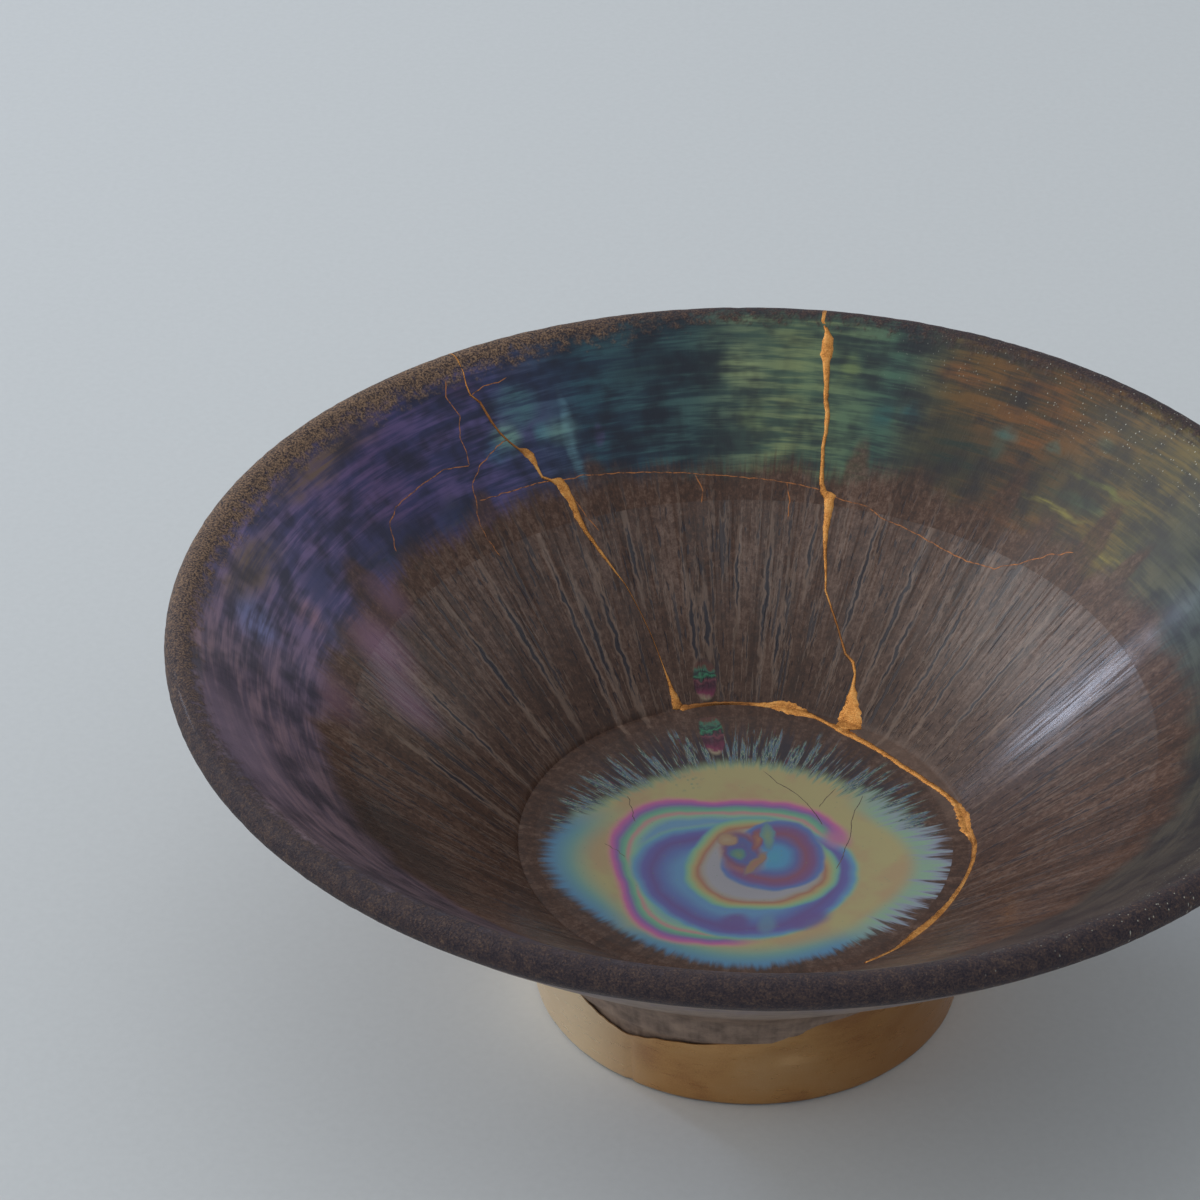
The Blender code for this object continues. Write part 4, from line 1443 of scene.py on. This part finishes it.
# The pool's rings from the outermost to the innermost: centre, half sizes, turn, lobes,
# the value at which its edge ends, and its colours from the middle to the edge
POOL_RINGS = (
    ((-1.6, -4.4), (16.2, 16.4), 0.0, ((4, 0.055, 141.0), (3, 0.035, 142.0)), 1.06, (
        (0.0, (96, 136, 170)), (0.70, (100, 138, 166)), (0.76, (128, 162, 138)),
        (0.795, (172, 128, 128)), (0.825, (108, 156, 128)), (0.855, (96, 140, 132)),
        (0.89, (128, 92, 148)), (0.935, (174, 94, 142)), (1.0, (196, 146, 122)),
    )),
    ((0.2, -5.8), (14.4, 12.8), -10.0, ((3, 0.05, 150.0), (2, 0.03, 20.0)), 1.05, (
        (0.0, (92, 126, 166)), (0.56, (92, 132, 168)), (0.68, (88, 104, 156)),
        (0.78, (96, 80, 134)), (0.86, (92, 92, 150)), (0.92, (92, 134, 168)),
        (0.96, (112, 160, 142)), (1.0, (160, 156, 122)),
    )),
    ((2.2, -2.8), (10.4, 9.8), -8.0, ((3, 0.05, 100.0), (2, 0.03, 90.0)), 1.04, (
        (0.0, (136, 134, 142)), (0.66, (146, 144, 150)), (0.72, (148, 140, 132)),
        (0.78, (150, 108, 88)), (0.83, (160, 142, 102)), (0.89, (132, 160, 122)),
        (0.95, (100, 150, 148)), (1.0, (92, 126, 166)),
    )),
    ((4.1, -0.7), (6.9, 7.1), 6.0, ((2, 0.05, 60.0), (3, 0.05, 80.0)), 1.05, (
        (0.0, (76, 142, 166)), (0.28, (78, 134, 170)), (0.46, (88, 96, 146)),
        (0.64, (124, 78, 100)), (0.78, (112, 80, 122)), (0.90, (86, 104, 156)),
        (1.0, (110, 130, 152)),
    )),
    ((-0.2, 0.4), (3.0, 5.2), 18.0, ((3, 0.10, 90.0), (2, 0.06, 30.0)), 1.10, (
        (0.0, (96, 82, 128)), (0.45, (84, 92, 140)), (0.66, (118, 78, 98)),
        (0.84, (156, 112, 84)), (0.94, (168, 142, 114)), (1.0, (132, 140, 150)),
    )),
    ((-2.0, 3.0), (1.5, 1.4), 40.0, (), 1.15, (
        (0.0, (156, 138, 112)), (0.6, (150, 124, 100)), (1.0, (124, 90, 84)),
    )),
    ((-0.6, -0.2), (1.2, 1.4), 0.0, (), 1.25, (
        (0.0, (104, 130, 100)), (0.45, (84, 122, 118)), (0.75, (80, 100, 138)),
        (1.0, (94, 86, 142)),
    )),
    ((1.9, 2.9), (0.9, 2.4), -10.0, (), 1.2, (
        (0.0, (150, 108, 84)), (0.6, (128, 84, 92)), (1.0, (96, 84, 136)),
    )),
    ((1.7, -2.0), (0.75, 2.9), -28.0, (), 1.20, (
        (0.0, (146, 104, 92)), (0.6, (136, 112, 92)), (1.0, (92, 98, 138)),
    )),
    ((3.3, 3.8), (0.8, 2.6), 3.0, (), 1.35, (
        (0.0, (118, 138, 110)), (0.5, (100, 132, 128)), (1.0, (82, 112, 150)),
    )),
)


def pool_glaze(recipe, finish, ground, flame):
    """The iridescent pool in the well, laid as rings from the outermost to the innermost."""
    plan = recipe.shifted(recipe.plan, 1.5, 0.20, seed=101.0)
    close = recipe.shifted(plan, 1.1, 0.55, seed=107.0)
    ragged = recipe.disc(
        recipe.plan, (0.6, -3.0), (24.6, 21.1), 0.0, ((4, 0.045, 0.0), (1, 0.035, 225.0)),
    )
    spiky = recipe.east.rising(0.3, 0.95)
    fray = (flame - 0.5) * (spiky * 0.42 + 0.16) - spiky * 0.03
    edge = (ragged + fray).rising(1.05, 0.95)
    cloud = recipe.noise(recipe.plan, 0.13, detail=3.0, roughness=0.55)
    outer = recipe.blend(cloud.rising(0.42, 0.62), finish.pool, paint(161, 139, 105))
    left = recipe.x.rising(-11.0, -19.0) * recipe.y.rising(9.0, 1.0)
    low = recipe.maths("MAXIMUM", left, recipe.y.rising(-14.0, -22.0))
    outer = recipe.blend(ragged.rising(0.74, 0.92) * low, outer, paint(106, 148, 138))
    outer = recipe.blend(ragged.rising(0.84, 1.0) * low, outer, paint(80, 124, 158))
    east_rim = ragged.rising(0.80, 0.92) * recipe.x.rising(12.0, 18.0)
    outer = recipe.blend(east_rim * 0.8, outer, paint(118, 158, 140))
    pale = (ragged + fray).rising(0.86, 0.98) * recipe.x.rising(14.0, 20.0)
    outer = recipe.blend(pale * 0.8, outer, paint(132, 134, 160))
    crown = (ragged + fray).rising(0.93, 1.0) * recipe.y.rising(2.0, 8.0)
    outer = recipe.blend(crown * 0.7, outer, paint(118, 150, 120))

    bright = recipe.maths("MAXIMUM", recipe.x.rising(4.0, -3.0), recipe.y.rising(1.0, 5.0))
    for centre, radii, turned, lobes, end, stops in POOL_RINGS:
        small = radii[0] < 5.0
        ring = recipe.disc(close if small else plan, centre, radii, turned, lobes)
        tone = recipe.ramp(ring / end, *((spot, paint(*tone)) for spot, tone in stops))
        soft = 0.5 if small else 0.08
        outer = recipe.blend(ring.rising(end, end - soft) * bright, outer, tone)
        bright = 1.0
    patch = recipe.dab(plan, 15.0, 12.6, 2.6, 3.2, soft=0.9)
    outer = recipe.blend(patch * 0.85, outer, paint(168, 104, 142))
    for spot, size in (((-1.0, -15.4), (3.0, 2.6)), ((8.6, -14.6), (4.4, 2.2))):
        bloom = recipe.disc(plan, spot, size, 32.0).rising(1.0, 0.35)
        outer = recipe.blend(bloom * 0.85, outer, paint(98, 78, 132))
    gap = recipe.disc(plan, (3.4, -15.6), (1.6, 3.2), -10.0).rising(1.0, 0.3)
    outer = recipe.blend(gap * 0.6, outer, paint(96, 136, 152))
    bubbles = recipe.spots(recipe.plan, 0.8).rising(0.13, 0.07) * 0.3
    cluster = recipe.dab(recipe.plan, 119.6, 16.0, 2.4, 3.0, soft=0.9)
    cluster = cluster * recipe.spots(recipe.plan, 1.3).rising(0.42, 0.2)
    bubbles = recipe.maths("MAXIMUM", bubbles, cluster * 0.75)
    outer = recipe.blend(bubbles, outer, paint(104, 128, 108))
    return recipe.blend(edge, ground, outer), edge


def painted_left_reflection(recipe, tone):
    """A painted reflection on the left front wall: a dark patch, with a paler lilac painted
    reflection outside it.
    """
    dark = recipe.dab(recipe.plan, 213.0, 51.0, 11.0, 19.0, soft=0.7)
    tone = recipe.blend(dark * 0.6, tone, paint(26, 20, 20))
    pale = recipe.dab(recipe.plan, 203.0, 68.0, 6.0, 18.0, soft=0.8)
    return recipe.blend(pale * 0.55, tone, paint(128, 108, 124))


def painted_ledge_light(recipe, tone):
    """Painted light: a paler tone on the narrow step between the ring seam and the wall, to the
    right.
    """
    narrow = recipe.radius.rising(26.8, 27.8) * recipe.radius.rising(30.4, 29.4)
    narrow = narrow * recipe.east.rising(0.3, 0.6) * recipe.north.rising(0.0, 0.3)
    return recipe.blend(narrow * 0.22, tone, paint(150, 126, 112))


def wall_glaze(context):
    """The wall above the well: brown ground with drips."""
    recipe, finish = begin(context, "wall_glaze", coat=0.35, coat_roughness=0.2, gloss=0.35)
    tone, height, fibres = wall_ground(recipe, finish)
    tone, height, torn = wall_drips(recipe, finish, tone, height)
    tone = long_drips(recipe, tone, torn)
    tone = rainbow_strip(recipe, tone, 100.8, 32.4, 2.2)
    tone = lilac_sheen(recipe, tone)
    tone = painted_ledge_light(recipe, tone)
    tone = painted_left_reflection(recipe, tone)
    glassy = recipe.radius.rising(33.0, 45.0) * recipe.radius.rising(57.0, 50.0)
    recipe.feed(recipe.shader.inputs["Coat Weight"], glassy * 0.66 * fibres.rising(0.3, 0.6) + 0.05)
    return recipe.done(tone, 0.48, recipe.relief(height))


def band_glaze(context):
    """The wall under the lip: the lustre band over the ground, and the gritty lip."""
    recipe, finish = begin(context, "band_glaze", coat=0.25, coat_roughness=0.14, gloss=0.24)
    tone, height, fibres = wall_ground(recipe, finish)
    tone, height, _ = wall_drips(recipe, finish, tone, height)
    tone = lilac_sheen(recipe, tone)
    tone, band = lustre_band(recipe, tone, fibres)
    tone = painted_left_reflection(recipe, tone)
    tone, lip, grains = lip_band(recipe, tone)
    recipe.feed(recipe.shader.inputs["Coat Weight"], 0.25 - lip * 0.22)
    roughness = 0.48 - band * 0.06 + lip * 0.2
    return recipe.done(tone, roughness, recipe.relief(height + lip * grains * 0.22))


def well_glaze(context):
    """The well: brown ground with flames of lustre round the iridescent pool."""
    recipe, finish = begin(context, "well_glaze", coat=0.2, coat_roughness=0.14, gloss=0.35)
    tone, height, _ = wall_ground(recipe, finish)
    tone, flame = pool_flames(recipe, tone)
    tone = rainbow_strip(recipe, tone, 101.3, 24.4, 4.0)
    tone = painted_ledge_light(recipe, tone)
    tone, pool = pool_glaze(recipe, finish, tone, flame)
    height = height * recipe.radius.rising(22.0, 27.0)
    return recipe.done(tone, 0.48 - pool * 0.12, recipe.relief(height))


def outside_glaze(context):
    """The plainer glaze of the outside, with throwing lines and a faint lustre under the lip."""
    recipe, finish = begin(context, "outside_glaze", gloss=0.3)
    turned = recipe.noise(recipe.vector(recipe.east * 3, recipe.north * 3, recipe.height * 0.9),
                          detail=3.0, roughness=0.6)
    mottle = recipe.noise(recipe.place, 0.35, detail=5.0, roughness=0.65)
    runs = recipe.noise(recipe.around(40, 0.06, seed=7.0), detail=3.0)
    tone = recipe.ramp(
        turned * 0.18 + mottle * 0.62 + runs * 0.2, (0.32, paint(72, 58, 52)),
        (0.52, finish.outside), (0.70, paint(164, 141, 124)),
    )
    lustre = recipe.height.rising(40.0, 54.0) * mottle.rising(0.45, 0.62) * 0.6
    tone = recipe.blend(lustre, tone, paint(66, 62, 92))
    height = turned * 0.05 + mottle * 0.05
    return recipe.done(tone, mottle * 0.2 + 0.36, recipe.relief(height))


def bare_clay(context):
    """The unglazed stoneware under the foot."""
    recipe, finish = begin(context, "bare_clay")
    grain = recipe.noise(recipe.place, 2.2, detail=4.0, roughness=0.7)
    sand = recipe.spots(recipe.place, 1.4).rising(0.22, 0.1)
    tone = recipe.ramp(
        grain, (0.35, paint(86, 68, 56)), (0.55, finish.clay), (0.72, paint(148, 126, 106)),
    )
    tone = recipe.blend(sand * 0.5, tone, paint(60, 46, 40))
    return recipe.done(tone, 0.82, recipe.relief(grain * 0.12 - sand * 0.06))


# Where the gold is thin: angle, radius, and half size along and across
THIN_GOLD = (
    (112.0, 40.0, 9.0, 2.0), (71.0, 39.0, 6.5, 3.6), (98.0, 29.5, 1.6, 6.5),
    (124.5, 65.0, 8.0, 3.4),
)


def seam_lacquer(context):
    """Burnished gold powder on lacquer, bright along its crown and grainy up close."""
    recipe, finish = begin(context, "seam_lacquer", metallic=0.9)
    grain = recipe.noise(recipe.place, 5.5, detail=3.0, roughness=0.75)
    wear_and_painted_highlight = recipe.noise(recipe.place, 0.7, detail=4.0, roughness=0.6)
    tone = recipe.ramp(
        grain * 0.5 + wear_and_painted_highlight * 0.5, (0.36, finish.gold_dull), (0.5, finish.gold),
        (0.68, paint(234, 184, 114)),
    )
    thin = 0.0
    for spot in THIN_GOLD:
        thin = recipe.maths("MAXIMUM", thin, recipe.dab(recipe.plan, *spot, soft=0.4))
    tone = recipe.blend(thin * 0.7, tone, paint(124, 78, 48))
    return recipe.done(tone, wear_and_painted_highlight * 0.3 + 0.28, recipe.relief(grain * 0.07 + wear_and_painted_highlight * 0.05))


def foot_lacquer(context):
    """Satin gold brushed round the foot, with a painted highlight to the front left and painted
    shade to the right.
    """
    recipe, finish = begin(context, "foot_lacquer", metallic=1.0)
    brushed = recipe.noise(
        recipe.vector(recipe.east * 9, recipe.north * 9, recipe.height * 1.5),
        detail=3.0, roughness=0.55,
    )
    cloud = recipe.noise(recipe.place, 0.11, detail=2.0)
    grain = recipe.noise(recipe.place, 4.5, detail=2.0, roughness=0.7)
    tone = recipe.ramp(
        brushed * 0.15 + cloud * 0.65 + grain * 0.2, (0.34, paint(186, 134, 90)),
        (0.5, finish.foot_gold), (0.68, paint(218, 176, 128)),
    )
    # Painted highlight: the front left of the foot is painted pale, near white
    wear_and_painted_highlight = recipe.east.rising(-0.3, -0.8) * recipe.north.rising(0.4, -0.2)
    tone = recipe.blend(wear_and_painted_highlight * 0.88, tone, paint(254, 232, 198))
    # Painted shade: the right of the foot is painted browner and darker
    tone = recipe.blend(recipe.east.rising(0.1, 0.9) * 0.5, tone, paint(168, 112, 64))
    return recipe.done(
        tone, brushed * 0.15 + 0.22, recipe.relief(brushed * 0.02 + grain * 0.02 + cloud * 0.2),
    )


def hairline_gold(context):
    """Dull gold rubbed into a crack."""
    recipe, finish = begin(context, "hairline_gold", metallic=0.5)
    broken = recipe.noise(recipe.place, 1.3, detail=3.0, roughness=0.7)
    tone = recipe.ramp(broken, (0.38, paint(96, 66, 52)), (0.55, finish.hairline))
    return recipe.done(tone, 0.5, recipe.relief(broken * 0.03))


def crack_shade(context):
    """The dark inside of an open hairline."""
    recipe, _ = begin(context, "crack_shade")
    broken = recipe.noise(recipe.place, 1.1, detail=2.0)
    tone = recipe.ramp(broken, (0.35, paint(58, 44, 42)), (0.65, paint(106, 92, 76)))
    return recipe.done(tone, 0.6, recipe.relief(broken * 0.02))


COOL_LIGHT = (0.66, 0.77, 1.0)
WARM_LIGHT = (1.0, 0.985, 0.96)
# Name, colour, direction from the bowl round and upwards in degrees, distance, and size
LIGHTS = (
    ("window", COOL_LIGHT, 143.0, 24.5, 1.1, (0.10, 0.16)),
    ("ceiling", WARM_LIGHT, 160.0, 78.0, 1.8, (1.8, 1.8)),
    ("left_wall", WARM_LIGHT, 176.0, 34.0, 1.3, (1.1, 0.8)),
    ("right_wall", WARM_LIGHT, 28.0, 12.0, 1.5, (0.9, 0.5)),
)


class KINTSUGI_OT_studio(bpy.types.Operator):
    """Sets a plain pale floor, soft light and the camera"""

    bl_idname = "kintsugi.studio"
    bl_label = "Studio"

    def execute(self, context):
        studio = context.scene.kintsugi_studio
        self.lay_floor(studio)
        self.light_room(context, studio)
        powers = (
            studio.window_power, studio.ceiling_power, studio.left_power, studio.right_power,
        )
        for light, watts in zip(LIGHTS, powers):
            self.hang_light(watts, *light)
        self.set_camera(context, studio)
        return {"FINISHED"}

    def lay_floor(self, studio):
        """A large matt floor with a faint tooth."""
        deselect()
        bpy.ops.mesh.primitive_plane_add(size=6.0)
        floor = named("studio_floor")
        recipe = Recipe("studio_floor")
        where = recipe.node("ShaderNodeTexCoord").outputs["Object"]
        tooth = recipe.noise(where, 900.0, detail=2.0)
        tone = recipe.ramp(
            tooth, (0.3, tuple(c * 0.97 for c in studio.floor)), (0.7, studio.floor),
        )
        floor.data.materials.append(recipe.done(tone, 0.85, recipe.relief(tooth * 0.02)))

    def light_room(self, context, studio):
        """Even, faintly cool light from all round."""
        world = bpy.data.worlds.new("room")
        world.use_nodes = True
        context.scene.world = world
        sky = world.node_tree.nodes["Background"]
        sky.inputs["Color"].default_value = (0.90, 0.95, 1.0, 1.0)
        sky.inputs["Strength"].default_value = studio.room_light
        context.scene.view_settings.view_transform = "Standard"

    def hang_light(self, watts, name, tint, azimuth, elevation, distance, size):
        """A soft rectangular light that faces the bowl from an angle."""
        turn = math.radians(azimuth)
        rise = math.radians(elevation)
        out = Vector((
            math.cos(turn) * math.cos(rise), math.sin(turn) * math.cos(rise), math.sin(rise),
        ))
        deselect()
        bpy.ops.object.light_add(type="AREA", location=out * distance)
        lamp = bpy.context.object
        lamp.name = name
        lamp.rotation_euler = out.to_track_quat("Z", "Y").to_euler()
        lamp.data.shape = "RECTANGLE"
        lamp.data.size, lamp.data.size_y = size
        lamp.data.energy = watts
        lamp.data.color = tint

    def set_camera(self, context, studio):
        """The camera at the height and angle that the bowl is best seen from."""
        deselect()
        bpy.ops.object.camera_add()
        camera = named("camera")
        rise = studio.elevation
        back = Vector((0.0, -math.cos(rise), math.sin(rise)))
        ahead = -back
        right = Vector((1.0, 0.0, 0.0))
        up = right.cross(ahead)
        turned = ahead * math.cos(studio.yaw) + right * math.sin(studio.yaw)
        right = right * math.cos(studio.yaw) - ahead * math.sin(studio.yaw)
        tilted = turned * math.cos(studio.pitch) + up * math.sin(studio.pitch)
        up = up * math.cos(studio.pitch) - turned * math.sin(studio.pitch)
        rolled = right * math.cos(studio.roll) + up * math.sin(studio.roll)
        up = up * math.cos(studio.roll) - right * math.sin(studio.roll)
        facing = Matrix((rolled, up, -tilted)).transposed()
        camera.matrix_world = Matrix.Translation(back * studio.distance) @ facing.to_4x4()
        camera.data.lens = studio.lens
        camera.data.sensor_width = 36.0
        camera.data.clip_start = 0.01
        camera.data.clip_end = 20.0
        camera.data.dof.use_dof = False
        context.scene.camera = camera


class KINTSUGI_PT_sidebar(bpy.types.Panel):
    """The bowl's sizes, colours and steps"""

    bl_idname = "KINTSUGI_PT_sidebar"
    bl_label = "Kintsugi Bowl"
    bl_space_type = "VIEW_3D"
    bl_region_type = "UI"
    bl_category = "Kintsugi"

    def draw(self, context):
        scene = context.scene
        for group in (scene.kintsugi_sizes, scene.kintsugi_finish, scene.kintsugi_studio):
            box = self.layout.box()
            for key in group.__annotations__:
                box.prop(group, key)
        for step in STEPS:
            self.layout.operator(step.bl_idname)


STEPS = (
    KINTSUGI_OT_ceramic, KINTSUGI_OT_seams, KINTSUGI_OT_hairlines, KINTSUGI_OT_foot,
    KINTSUGI_OT_studio,
)
GROUPS = {
    "kintsugi_sizes": KINTSUGI_PG_sizes,
    "kintsugi_finish": KINTSUGI_PG_finish,
    "kintsugi_studio": KINTSUGI_PG_studio,
}
CLASSES = (*GROUPS.values(), *STEPS, KINTSUGI_PT_sidebar)


def register():
    """Makes the panel, the sizes and the steps known."""
    for item in CLASSES:
        bpy.utils.register_class(item)
    for name, group in GROUPS.items():
        setattr(bpy.types.Scene, name, PointerProperty(type=group))


def unregister():
    """Takes them away again."""
    for name in GROUPS:
        delattr(bpy.types.Scene, name)
    for item in reversed(CLASSES):
        bpy.utils.unregister_class(item)


def main():
    """Builds every piece in order."""
    register()
    bpy.ops.kintsugi.ceramic()
    bpy.ops.kintsugi.seams()
    bpy.ops.kintsugi.hairlines()
    bpy.ops.kintsugi.foot()
    bpy.ops.kintsugi.studio()
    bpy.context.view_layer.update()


if __name__ == "__main__":
    main()
